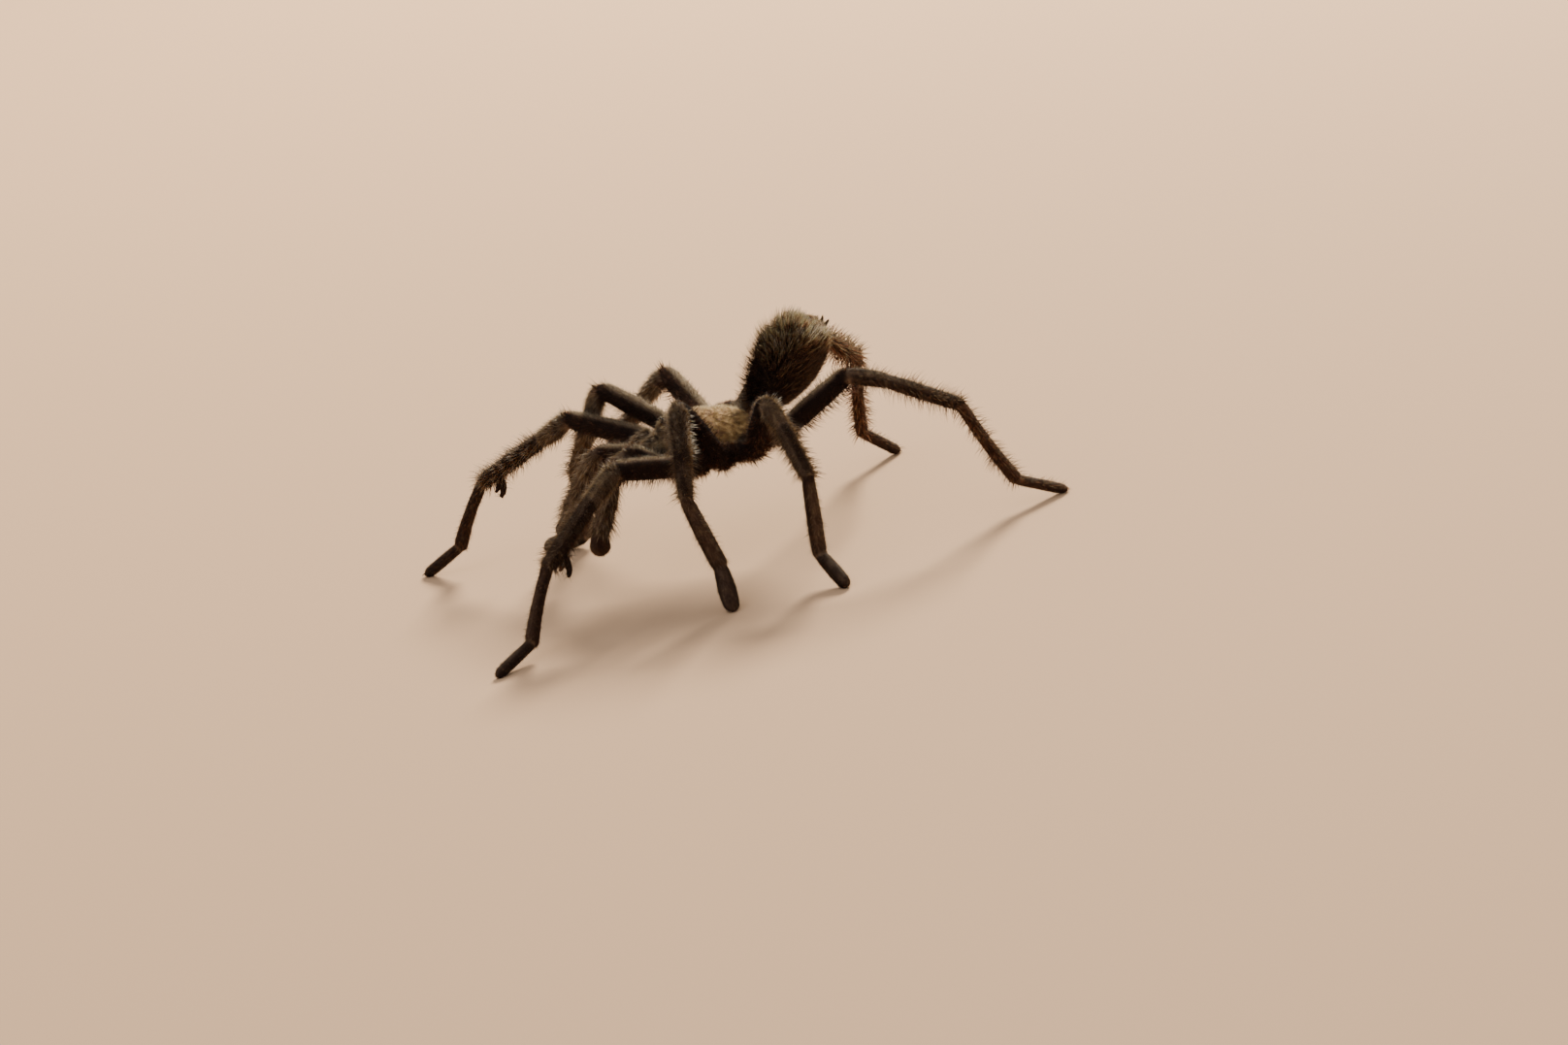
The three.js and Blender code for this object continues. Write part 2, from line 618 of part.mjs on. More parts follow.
function fillTrunk() {
  const carapace = carapaceGeometry();
  trunk.add(namedMesh('carapace', carapace, COAT_GOLD));
  trunk.add(namedMesh('eye_mound', eyeMoundGeometry(carapace), EYE));
  trunk.add(namedMesh('sternum', sternumGeometry(), COAT_DARK));
  for (const side of SIDES) {
    trunk.add(namedMesh(`chelicera_${side.name}`, cheliceraGeometry(side), COAT_CHELICERA));
    trunk.add(namedMesh(`fang_${side.name}`, fangGeometry(side), HORN));
  }

  const stalk = new THREE.CylinderGeometry(PEDICEL.radius, PEDICEL.radius, PEDICEL.length, 12);
  const pedicel = namedMesh('pedicel', stalk, COAT_DARK);
  const sternumRear = STERNUM.length / 2 - STERNUM.forward;
  pedicel.position.set(0, sternumRear + JOINT_GAP + PEDICEL.length / 2, -0.2 - PEDICEL.radius);
  trunk.add(pedicel);

  const hind = new THREE.Group();
  hind.position.set(0, ABDOMEN.front, ABDOMEN.lift);
  hind.rotation.x = rad(ABDOMEN.raised);
  hind.add(namedMesh('abdomen', abdomenGeometry(), COAT_DARK));
  for (const side of SIDES) {
    hind.add(namedMesh(`spinneret_${side.name}`, spinneretGeometry(side), COAT_DARK));
  }
  trunk.add(hind);
}

// ---------------------------------------------------------------- the whole animal

fillTrunk();
const tarantula = new THREE.Group();
tarantula.add(trunk);
for (const side of SIDES) {
  for (const pair of [1, 2, 3, 4]) tarantula.add(...legMeshes(side, pair));
  tarantula.add(...palpMeshes(side));
}

// The origin is on the floor under the middle of the animal's box.
tarantula.updateMatrixWorld(true);
const middle = new THREE.Box3().setFromObject(tarantula, true).getCenter(vec(0, 0, 0));
tarantula.position.set(-middle.x, -middle.y, 0);

export default tarantula;
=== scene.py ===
"""A mature male desert tarantula, life size: one skin, its coat, eyes, fangs, claws and spines.

Lengths are in millimetres and become metres where a mesh is made.  The animal faces -Y, its left
side is +X, and it stands on z = 0.
"""
import sys
import logging
import math
from dataclasses import dataclass, field
from enum import Enum
from typing import Any, Iterable, Optional

import bmesh
import bpy
import numpy as np
from mathutils import Matrix, Vector
from mathutils.bvhtree import BVHTree


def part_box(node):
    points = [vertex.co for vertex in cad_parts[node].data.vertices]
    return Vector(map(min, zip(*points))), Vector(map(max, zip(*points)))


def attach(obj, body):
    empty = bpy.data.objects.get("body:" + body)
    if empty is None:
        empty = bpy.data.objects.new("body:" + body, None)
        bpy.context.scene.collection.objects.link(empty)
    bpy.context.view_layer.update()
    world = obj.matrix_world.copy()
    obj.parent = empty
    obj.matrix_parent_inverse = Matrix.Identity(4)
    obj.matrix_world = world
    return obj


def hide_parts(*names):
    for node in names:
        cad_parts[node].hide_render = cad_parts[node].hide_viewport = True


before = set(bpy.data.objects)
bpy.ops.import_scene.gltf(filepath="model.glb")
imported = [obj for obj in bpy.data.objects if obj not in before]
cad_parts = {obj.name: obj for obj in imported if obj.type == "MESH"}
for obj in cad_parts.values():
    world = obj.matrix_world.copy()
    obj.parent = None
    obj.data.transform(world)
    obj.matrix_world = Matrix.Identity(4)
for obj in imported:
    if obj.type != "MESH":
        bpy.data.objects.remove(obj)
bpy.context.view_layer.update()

LOG = logging.getLogger("tarantula")
MM = 0.001
BODY = "root"

BODY_NOSE_DOWN = 3.0
BODY_ROLL_TO_LEFT = 8.0
SPUR_STRETCH = 6.2  # the end of a first tibia on which its spurs stand
FLOOR_GAP = 0.03  # how far skin and hair stay above the floor
MAP_BANDS = 16  # bands of the coat's map, one for each axis with one to spare
MAP_PER_MM = 0.0098  # how far a millimetre along an axis goes on the map
MAP_START = 0.1  # where an axis starts on the map
MAP_ROUND = 0.056  # how far once round an axis goes
MAP_PATCH = 0.003  # the patch of one lock
# For each joint: the depth of its groove, its half width, and how bare and pale it is.
JOINT_RINGS = {"femur": (0.2, 0.35, 0.0), "tibia": (0.2, 0.6, 0.9), "patella_end": (0.14, 0.28, 0.35),
               "metatarsus": (0.22, 0.4, 0.3), "tarsus": (0.14, 0.3, 0.5)}
PALP_TARSUS_BARE = 0.15  # the same joint of a palp is less bare
WORN_PATCH = (2.1, 4.7, 7.8)  # the middle of the worn patch, from the abdomen's
WORN_REACH = 1.1  # how far it goes
SPUR_START = 2.05  # how far from a first tibia's middle line the hair of its spur starts
PATELLA_LENGTHS = {"1": 8.0, "2": 7.4, "3": 6.5, "4": 7.2, "palp": 6.0}


class Side(Enum):
    """The two sides of the animal, with the sign of X on each."""

    LEFT = 1
    RIGHT = -1

    @property
    def word(self) -> str:
        """The side's name in node names."""
        return self.name.lower()


class Slot(Enum):
    """Names of material slots."""

    DARK = "coat_dark"
    LEG = "coat_leg"
    HIND_LEG = "coat_hind_leg"
    GOLD = "coat_gold"
    CHELICERA = "coat_chelicera"
    HORN = "horn"
    EYE = "eye"


# ------------------------------------------------------------------------------ small helpers


def linear(hex_colour: str) -> tuple[float, float, float, float]:
    """Turns an sRGB hex colour to linear RGBA.

    Args:
        hex_colour: such as "#2e241b".

    Returns:
        Four numbers, with alpha 1.
    """
    parts = [int(hex_colour[i:i + 2], 16) / 255 for i in (1, 3, 5)]
    red, green, blue = (c / 12.92 if c <= 0.04045 else ((c + 0.055) / 1.055) ** 2.4 for c in parts)
    return red, green, blue, 1.0


def add_node(tree: bpy.types.NodeTree, kind: str, settings: Optional[dict[str, Any]] = None,
             inputs: Optional[dict[Any, Any]] = None) -> bpy.types.Node:
    """Adds a node with its settings, values and links.

    Args:
        tree: the node tree it goes in.
        kind: the node's type.
        settings: its properties by name.
        inputs: for each socket name or number, a value or the socket to link from.

    Returns:
        The new node.
    """
    node = tree.nodes.new(kind)
    for name, value in (settings or {}).items():
        setattr(node, name, value)
    for key, value in (inputs or {}).items():
        if isinstance(value, bpy.types.NodeSocket):
            tree.links.new(value, node.inputs[key])
        else:
            node.inputs[key].default_value = value
    return node


def new_object(name: str, points: np.ndarray, faces: Iterable, smooth: bool = True) -> bpy.types.Object:
    """Makes a mesh object at the origin.

    Args:
        name: the object's name.
        points: its points in millimetres.
        faces: its faces as lists of point numbers.
        smooth: whether it is shaded smooth.

    Returns:
        The object, linked to the scene.
    """
    mesh = bpy.data.meshes.new(name)
    mesh.from_pydata((np.asarray(points) * MM).tolist(), [], [list(map(int, f)) for f in faces])
    mesh.polygons.foreach_set("use_smooth", [smooth] * len(mesh.polygons))
    mesh.update()
    made = bpy.data.objects.new(name, mesh)
    bpy.context.scene.collection.objects.link(made)
    return made


def mesh_points(mesh: bpy.types.Mesh) -> np.ndarray:
    """A mesh's points in millimetres.

    Args:
        mesh: the mesh.

    Returns:
        One row for each vertex.
    """
    flat = np.empty(len(mesh.vertices) * 3, dtype=np.float64)
    mesh.vertices.foreach_get("co", flat)
    return flat.reshape(-1, 3) / MM


def baked(source: bpy.types.Object, name: str) -> bpy.types.Object:
    """Turns an object with modifiers into a plain one, and removes the first.

    Args:
        source: the object with modifiers.
        name: the plain object's name.

    Returns:
        The plain object.
    """
    graph = bpy.context.evaluated_depsgraph_get()
    mesh = bpy.data.meshes.new_from_object(source.evaluated_get(graph))
    mesh.name = name
    bpy.data.objects.remove(source)
    made = bpy.data.objects.new(name, mesh)
    bpy.context.scene.collection.objects.link(made)
    return made


def unit(vectors: np.ndarray) -> np.ndarray:
    """Vectors scaled to length one."""
    return vectors / np.maximum(np.linalg.norm(vectors, axis=-1, keepdims=True), 1e-9)


def smoothstep(values: np.ndarray, low: float, high: float) -> np.ndarray:
    """A smooth rise from 0 at low to 1 at high."""
    t = np.clip((values - low) / (high - low), 0, 1)
    return t * t * (3 - 2 * t)


def bump_at(values: np.ndarray, middle: float, width: float) -> np.ndarray:
    """A bell of height one round a value."""
    return np.exp(-(((values - middle) / width) ** 2))


def swirl(points: np.ndarray, size: float, seed: int) -> np.ndarray:
    """A smooth field of three values between about -1 and 1, from crossed waves.

    Args:
        points: where, in millimetres.
        size: the rough size of its lumps in millimetres.
        seed: picks the waves.

    Returns:
        One vector for each point.
    """
    rng = np.random.default_rng(seed)
    out = np.zeros((len(points), 3))
    for _ in range(5):
        wave = unit(rng.normal(size=(3, 3))) * (2 * np.pi / size) * rng.uniform(0.6, 1.5, (3, 1))
        out += np.sin(points @ wave.T + rng.uniform(0, 6.28, 3))
    return out / 2.2


def tilt_body(vectors: np.ndarray) -> np.ndarray:
    """Turns vectors of the level body to the leaning body of the stance.

    Args:
        vectors: one or more vectors.

    Returns:
        The vectors, turned.
    """
    turn = (Matrix.Rotation(math.radians(BODY_NOSE_DOWN), 3, "X")
            @ Matrix.Rotation(math.radians(BODY_ROLL_TO_LEFT), 3, "Y"))
    return np.asarray(vectors, dtype=float) @ np.array(turn).T


# ------------------------------------------------------------------------------ anatomy


@dataclass
class Shell:
    """The surface of one CAD node, merged, in millimetres."""

    points: np.ndarray
    faces: np.ndarray
    edges: np.ndarray

    @classmethod
    def of(cls, node: str) -> "Shell":
        """Reads a node of the frame.

        Args:
            node: its name.

        Returns:
            Its merged surface.
        """
        work = bmesh.new()
        work.from_mesh(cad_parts[node].data)
        bmesh.ops.remove_doubles(work, verts=work.verts, dist=1e-6)
        points = np.array([v.co[:] for v in work.verts]) / MM
        faces = np.array([[v.index for v in f.verts] for f in work.faces])
        edges = np.array([[v.index for v in e.verts] for e in work.edges])
        work.free()
        return cls(points, faces, edges)

    def near(self, other: "Shell", reach: float) -> np.ndarray:
        """This shell's points that lie within reach of the other's."""
        gaps = np.linalg.norm(self.points[:, None] - other.points[None], axis=2).min(axis=1)
        return self.points[gaps < reach]

    def section(self, point: np.ndarray, way: np.ndarray, reach: float) -> np.ndarray:
        """Where the edges cross a plane.

        Args:
            point: a point of the plane.
            way: its normal.
            reach: how far from the point a crossing may be.

        Returns:
            The crossing points.
        """
        height = (self.points - point) @ way
        first, second = self.edges.T
        crossing = height[first] * height[second] < 0
        first, second = first[crossing], second[crossing]
        share = height[first] / (height[first] - height[second])
        hits = self.points[first] + share[:, None] * (self.points[second] - self.points[first])
        return hits[np.linalg.norm(hits - point, axis=1) < reach]


@dataclass
class Axis:
    """The middle line of a limb or of a part of the body.

    Attributes:
        name: whose line it is.
        points: its stations in millimetres, half a millimetre or so apart.
        ways: the direction towards the tip at each.
        radii: the thickness of the form round each.
        along: how far along each is, from where the femur starts.
        nodes: the CAD node each lies in.
        up: the direction of the form's back at each.
        joints: how far along each joint is, by the name of what starts there.
    """

    name: str
    points: np.ndarray
    ways: np.ndarray
    radii: np.ndarray
    along: np.ndarray
    nodes: list[str]
    up: np.ndarray = field(default_factory=lambda: np.zeros((0, 3)))
    joints: dict[str, float] = field(default_factory=dict)


def march(shell: Shell, start: np.ndarray, way: np.ndarray, step: float = 0.5,
          reach: float = 2.7) -> tuple[np.ndarray, np.ndarray, np.ndarray]:
    """Follows the middle of a tube-like shell from one end to the other.

    Args:
        shell: the tube.
        start: the middle of the end it starts at.
        way: the direction into the tube there.
        step: the distance between stations.
        reach: the largest radius that belongs to the tube.

    Returns:
        The stations' points, directions and radii.
    """
    points, ways, radii = [], [], []
    centre, way = start + way * 0.12, way / np.linalg.norm(way)
    for _ in range(200):
        side = np.cross(way, [0.3, 0.2, 0.93])
        side /= np.linalg.norm(side)
        other = np.cross(way, side)
        hits = shell.section(centre, way, reach if not radii else min(reach, radii[-1] * 1.45 + 0.2))
        if len(hits) < 6:
            break
        flat = np.stack([(hits - centre) @ side, (hits - centre) @ other])
        middle, half = (flat.max(1) + flat.min(1)) / 2, (flat.max(1) - flat.min(1)) / 2
        centre = centre + side * middle[0] + other * middle[1]
        if points:
            gone = centre - points[-1]
            way = unit(way * 0.4 + 0.6 * gone / max(np.linalg.norm(gone), 0.05))
        points.append(centre)
        ways.append(way)
        radii.append(float(half.mean()))
        centre = centre + way * step
    return np.array(points), np.array(ways), np.array(radii)


class Anatomy:
    """The CAD nodes' surfaces and the middle lines through them."""

    def __init__(self) -> None:
        """Reads every node and traces every limb."""
        self.shells = {name: Shell.of(name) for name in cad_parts}
        self.axes: list[Axis] = []
        for side in Side:
            for pair in ("1", "2", "3", "4"):
                self.axes.append(self.trace(
                    f"leg_{side.word}_{pair}", ("coxa", "femur", "tibia", "metatarsus", "tarsus"), pair))
            self.axes.append(self.trace(f"palp_{side.word}", ("coxa", "femur", "tibia", "tarsus"), "palp"))
        for side in Side:
            self.axes.append(self.trace_chelicera(side))
        self.axes.append(self.straight("abdomen", ["abdomen", "spinneret_left", "spinneret_right"],
                                       self.middle("pedicel"), None))
        centre = self.middle("carapace")
        back = tilt_body([0, 1, 0])
        self.axes.append(self.straight("carapace", ["carapace", "eye_mound"],
                                       centre - 9.5 * back, centre + 9.5 * back))
        self.axes.append(self.straight("sternum", ["sternum", "pedicel"],
                                       centre - 8 * back, centre + 10 * back))
        owners, points, faces = [], [], []
        count = 0
        for name, shell in self.shells.items():
            points.append(shell.points)
            faces.append(shell.faces + count)
            owners += [name] * len(shell.faces)
            count += len(shell.points)
        self.face_owner = np.array(owners)
        self.tree = BVHTree.FromPolygons(np.concatenate(points).tolist(), np.concatenate(faces).tolist())

    def middle(self, node: str) -> np.ndarray:
        """The middle of a node's box in millimetres."""
        low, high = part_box(node)
        return (np.array(low) + np.array(high)) / 2 / MM

    def joint(self, before: str, after: str) -> tuple[np.ndarray, np.ndarray]:
        """The joint between two nodes.

        Args:
            before: the node nearer the body.
            after: the next node.

        Returns:
            The middle of the joint, and the direction across it towards the second node.
        """
        first, second = self.shells[before], self.shells[after]
        end, start = first.near(second, 0.5).mean(0), second.near(first, 0.5).mean(0)
        return (end + start) / 2, unit(start - end)

    def trace(self, limb: str, parts: tuple[str, ...], pair: str) -> Axis:
        """Traces a leg or palp from its coxa to its tip.

        Args:
            limb: the limb's name.
            parts: its parts from the body outwards.
            pair: which pair it is of.

        Returns:
            Its axis.
        """
        names = [f"{limb}_{part}" for part in parts]
        hip, way = self.joint(names[0], names[1])
        points, ways, radii = march(self.shells[names[0]], hip, -way)
        rows = [(points[::-1], -ways[::-1], radii[::-1], names[0])]
        for before, after in zip(names, names[1:]):
            start, way = self.joint(before, after)
            row = march(self.shells[after], start, way)
            if pair == "1" and after.endswith("tibia"):
                row = self.past_spurs(*row, self.joint(after, f"{limb}_metatarsus")[0])
            rows.append((*row, after))
        points = np.concatenate([r[0] for r in rows])
        ways = np.concatenate([r[1] for r in rows])
        radii = np.concatenate([r[2] for r in rows])
        nodes = [r[3] for r in rows for _ in r[0]]
        along = np.concatenate([[0], np.cumsum(np.linalg.norm(np.diff(points, axis=0), axis=1))])
        along -= along[nodes.index(names[1])]
        joints = {part: along[nodes.index(name)] for part, name in zip(parts[1:], names[1:])}
        joints["patella_end"] = joints["tibia"] + PATELLA_LENGTHS[pair]
        thigh, shin = (row[1][len(row[1]) // 2] for row in rows[1:3])
        hinge = unit(np.cross(thigh, shin))
        across = unit(hinge - (ways @ hinge)[:, None] * ways)
        return Axis(limb, points, ways, radii, along, nodes, np.cross(ways, across), joints)

    def past_spurs(self, points: np.ndarray, ways: np.ndarray, radii: np.ndarray,
                   end: np.ndarray) -> tuple[np.ndarray, np.ndarray, np.ndarray]:
        """Leads the axis of a first tibia straight to its end, past the spurs that stand off it.

        Args:
            points: the stations.
            ways: their directions.
            radii: their radii.
            end: the middle of the joint with the metatarsus.

        Returns:
            The mended stations, directions and radii.
        """
        last = int(np.argmax(np.linalg.norm(points - end, axis=1) < SPUR_STRETCH))
        steps = np.arange(0.5, SPUR_STRETCH, 0.5)
        straight = unit(end - points[last])
        return (np.concatenate([points[:last + 1], points[last] + steps[:, None] * straight]),
                np.concatenate([ways[:last + 1], np.repeat(straight[None], len(steps), axis=0)]),
                np.concatenate([radii[:last + 1], np.full(len(steps), radii[last])]))

    def trace_chelicera(self, side: Side) -> Axis:
        """Traces a chelicera from the face to the root of its fang.

        Args:
            side: which of the two.

        Returns:
            Its axis.
        """
        name = f"chelicera_{side.word}"
        shell = self.shells[name]
        root = shell.points[shell.points[:, 1] > shell.points[:, 1].max() - 0.45].mean(0)
        points, ways, radii = march(shell, root, tilt_body([0, -1, 0]), reach=3.6)
        along = np.linspace(0, 1, len(points)) * 5
        across = tilt_body([-1, 0, 0])
        return Axis(name, points, ways, radii, along, [name] * len(points), np.cross(ways, across))

    def straight(self, name: str, nodes: list[str], start: np.ndarray, end: Optional[np.ndarray]) -> Axis:
        """A straight axis through a part of the body.

        Args:
            name: the axis' name.
            nodes: the nodes it serves.
            start: its first point.
            end: its last, or None for the node's point that is farthest from the first.

        Returns:
            The axis.
        """
        if end is None:
            cloud = self.shells[nodes[0]].points
            order = np.argsort(np.linalg.norm(cloud - start, axis=1))
            end, start = cloud[order[-1]], cloud[order[0]]
        count = 40
        points = start + (end - start) * np.linspace(0, 1, count)[:, None]
        ways = np.repeat(unit(end - start)[None], count, axis=0)
        up = np.repeat(tilt_body([[0, 0, 1]]), count, axis=0)
        up = unit(up - (up * ways).sum(1, keepdims=True) * ways)
        along = np.linspace(0, np.linalg.norm(end - start), count)
        made = Axis(name, points, ways, np.ones(count), along, [nodes[0]] * count, up)
        made.nodes = list(nodes)
        return made

    def owners_of(self, points: np.ndarray) -> np.ndarray:
        """The name of the node nearest to each point."""
        return np.array([self.face_owner[self.tree.find_nearest(Vector(p))[2]] for p in points.tolist()])


# ------------------------------------------------------------------------------ the pelt of each part


@dataclass(frozen=True)
class Pelt:
    """How one part of the animal is haired.

    Attributes:
        depth: how far the skin lies inside the outline, in millimetres.
        tuft: the length of the close coat.
        seta: the length of the long hairs on the back of the part.
        below: the length of the long hairs under it.
        share: how thickly the long hairs stand, against a leg's tibia.
        lift: how far the long hairs stand up from the skin, in degrees.
        tone: how pale the coat is, from 0, near black, to 1, pale straw.
        rust: how red-brown it is.
    """

    depth: float = 0.3
    tuft: float = 0.8
    seta: float = 2.0
    below: float = 1.8
    share: float = 1.0
    lift: float = 45.0
    tone: float = 0.25
    rust: float = 0.15


PELTS: dict[str, Pelt] = {
    "coxa": Pelt(depth=0.08, tuft=0.8, seta=0.8, below=2.0, share=1.6, lift=55, tone=0.05),
    "femur": Pelt(depth=0.08, tuft=0.7, seta=1.1, below=2.3, share=0.9, lift=62, tone=0.03),
    "patella": Pelt(depth=0.08, tuft=1.15, seta=1.5, below=2.2, share=1.2, lift=46, tone=0.36),
    "tibia": Pelt(depth=0.06, tuft=0.95, seta=2.3, below=2.3, share=1.3, lift=58, tone=0.27),
    "metatarsus": Pelt(depth=0.03, tuft=0.65, seta=1.3, below=1.0, share=0.7, lift=54, tone=0.12, rust=0.3),
    "tarsus": Pelt(depth=0.02, tuft=0.5, seta=0.8, below=0.35, share=0.6, lift=42, tone=0.13),
    "hind_femur": Pelt(depth=0.12, tuft=0.65, seta=1.6, below=2.7, share=1.2, lift=70, tone=0.04),
    "hind_patella": Pelt(depth=0.14, tuft=0.75, seta=2.3, below=2.7, share=1.0, lift=62, tone=0.2, rust=0.12),
    "hind_tibia": Pelt(depth=0.16, tuft=0.75, seta=2.5, below=3.0, share=1.3, lift=66, tone=0.18, rust=0.3),
    "hind_metatarsus": Pelt(depth=0.08, tuft=0.65, seta=2.2, below=2.2, share=1.2, lift=60,
                            tone=0.17, rust=0.5),
    "hind_tarsus": Pelt(depth=0.04, tuft=0.45, seta=1.3, below=0.4, share=0.8, lift=58, tone=0.14, rust=0.3),
    "palp_femur": Pelt(depth=0.1, tuft=0.75, seta=1.8, below=2.0, share=1.0, lift=50, tone=0.12),
    "palp_patella": Pelt(depth=0.1, tuft=0.85, seta=2.0, below=2.2, share=1.2, lift=46, tone=0.26),
    "palp_tibia": Pelt(depth=0.1, tuft=0.9, seta=2.4, below=2.6, share=1.5, lift=42, tone=0.24),
    "palp_tarsus": Pelt(depth=0.1, tuft=0.5, seta=0.8, below=0.6, share=0.5, lift=30, tone=0.06, rust=0.4),
    "carapace": Pelt(depth=0.2, tuft=0.75, seta=1.1, below=1.0, share=0.3, lift=32, tone=0.82),
    "sternum": Pelt(depth=0.15, tuft=0.8, seta=1.8, below=2.0, share=1.1, lift=62, tone=0.04),
    "chelicera": Pelt(depth=0.15, tuft=1.0, seta=1.7, below=2.0, share=0.75, lift=22, tone=0.55),
    "abdomen": Pelt(depth=0.25, tuft=0.9, seta=3.0, below=1.9, share=1.5, lift=22, tone=0.02),
    "spinneret": Pelt(depth=0.1, tuft=0.4, seta=0.5, below=0.5, share=0.5, lift=20, tone=0.25),
}


def pelt_name(node: str, past_patella: bool) -> str:
    """Which pelt a place on a node wears.

    Args:
        node: the node's name.
        past_patella: whether it is beyond the end of the patella.

    Returns:
        A key of PELTS.
    """
    if node in ("carapace", "eye_mound", "pedicel"):
        return "carapace"
    for word in ("sternum", "chelicera", "abdomen", "spinneret", "coxa"):
        if word in node:
            return word
    part = node.rsplit("_", 1)[1]
    if part == "tibia" and not past_patella:
        part = "patella"
    if node.startswith("palp"):
        return f"palp_{part}"
    return f"hind_{part}" if "_4_" in node else part


# ------------------------------------------------------------------------------ skin


@dataclass
class Skin:
    """The one skin under the whole coat.

    Attributes:
        voxel: the grain of the remeshed surface, in millimetres.
        rounds: how often it is smoothed.
    """

    anatomy: Anatomy
    voxel: float = 0.34
    rounds: int = 6
    kept: tuple[str, ...] = ("eye_mound", "fang_left", "fang_right")

    def flesh(self) -> list[str]:
        """The nodes that the skin covers."""
        return [name for name in self.anatomy.shells if name not in self.kept]

    def plugs(self) -> list[tuple[np.ndarray, tuple[float, float, float]]]:
        """Balls of flesh that join the parts at the joints, as middles and half sizes.

        Returns:
            The balls, in millimetres.
        """
        balls: list[tuple[np.ndarray, tuple[float, float, float]]] = []
        for axis in self.anatomy.axes:
            if not axis.joints:
                continue
            for i in range(1, len(axis.nodes)):
                if axis.nodes[i] != axis.nodes[i - 1]:
                    radius = 0.93 * min(axis.radii[i], axis.radii[i - 1])
                    balls.append(((axis.points[i] + axis.points[i - 1]) / 2, (radius,) * 3))
        chest = self.anatomy.middle("carapace") + tilt_body([0, 0.2, -2.6])
        balls.append((chest, (4.8, 7.6, 2.1)))
        for side in Side:
            root = next(a for a in self.anatomy.axes if a.name == f"chelicera_{side.word}").points[0]
            balls.append((root + tilt_body([0, 0.4, -0.3]), (1.3, 1.6, 1.6)))
        hips = {axis.name: axis.points[axis.nodes.index(f"{axis.name}_femur")] for axis in self.anatomy.axes
                if axis.joints}
        for side in Side:
            for first, second in (("1", "2"), ("2", "3"), ("3", "4")):
                pair = [hips[f"leg_{side.word}_{number}"] for number in (first, second)]
                for share in (0.28, 0.5, 0.72):
                    between = pair[0] + share * (pair[1] - pair[0])
                    balls.append((between + 0.06 * (chest - between), (1.75,) * 3))
                    balls.append((between + 0.38 * (chest - between) + tilt_body([0, 0, 0.7]), (1.9,) * 3))
        low, high = (np.array(c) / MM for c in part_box("pedicel"))
        across, up = (low[0] + high[0]) / 2, (low[2] + high[2]) / 2
        balls.append((np.array([across, high[1] + 0.3, up + 0.3]), (1.1,) * 3))
        balls.append((np.array([across, low[1] - 0.2, up]), (1.1,) * 3))
        belly = self.anatomy.middle("abdomen")
        stalk = self.anatomy.middle("pedicel")
        balls.append((stalk + 0.34 * (belly - stalk) + tilt_body([0, 0, -0.9]), (2.3,) * 3))
        mound = self.anatomy.middle("eye_mound") + tilt_body([0, 0, -0.25])
        balls.append((mound, (1.2, 0.95, 0.75)))
        return balls

    def union(self) -> bpy.types.Object:
        """The flesh nodes' copies and the plugs, remeshed as one surface.

        Returns:
            The surface as an object.
        """
        work = bmesh.new()
        for name in self.flesh():
            shell = self.anatomy.shells[name]
            points = [work.verts.new(Vector(p) * MM) for p in shell.points.tolist()]
            for face in shell.faces.tolist():
                work.faces.new([points[i] for i in face])
        for middle, halves in self.plugs():
            place = Matrix.Translation(Vector(middle) * MM) @ Matrix.Diagonal((*(Vector(halves) * MM), 1))
            bmesh.ops.create_icosphere(work, subdivisions=3, radius=1, matrix=place)
        mesh = bpy.data.meshes.new("flesh")
        work.to_mesh(mesh)
        work.free()
        rough = bpy.data.objects.new("flesh", mesh)
        bpy.context.scene.collection.objects.link(rough)
        remesh = rough.modifiers.new("grain", "REMESH")
        remesh.mode = "VOXEL"
        remesh.voxel_size = self.voxel * MM
        remesh.use_smooth_shade = True
        return baked(rough, "skin")

    def build(self) -> tuple[bpy.types.Object, dict[str, np.ndarray]]:
        """Makes the skin.

        Returns:
            The skin, and for each of its points the fields that say where it is and how it is haired.
        """
        skin = self.union()
        mesh = skin.data
        points = mesh_points(mesh)
        edges = np.array([e.vertices[:] for e in mesh.edges])
        degree = np.bincount(edges.ravel(), minlength=len(points))[:, None]

        def spread(values: np.ndarray, rounds: int, weight: float = 0.5) -> np.ndarray:
            """Averages a field over the surface a few times.

            Args:
                values: one row for each point.
                rounds: how many times.
                weight: how far each point goes to its neighbours' mean.

            Returns:
                The field after that.
            """
            for _ in range(rounds):
                total = np.zeros_like(values)
                for column in range(values.shape[1]):
                    total[:, column] = (
                        np.bincount(edges[:, 0], values[edges[:, 1], column], len(values))
                        + np.bincount(edges[:, 1], values[edges[:, 0], column], len(values)))
                values = values + weight * (total / degree - values)
            return values

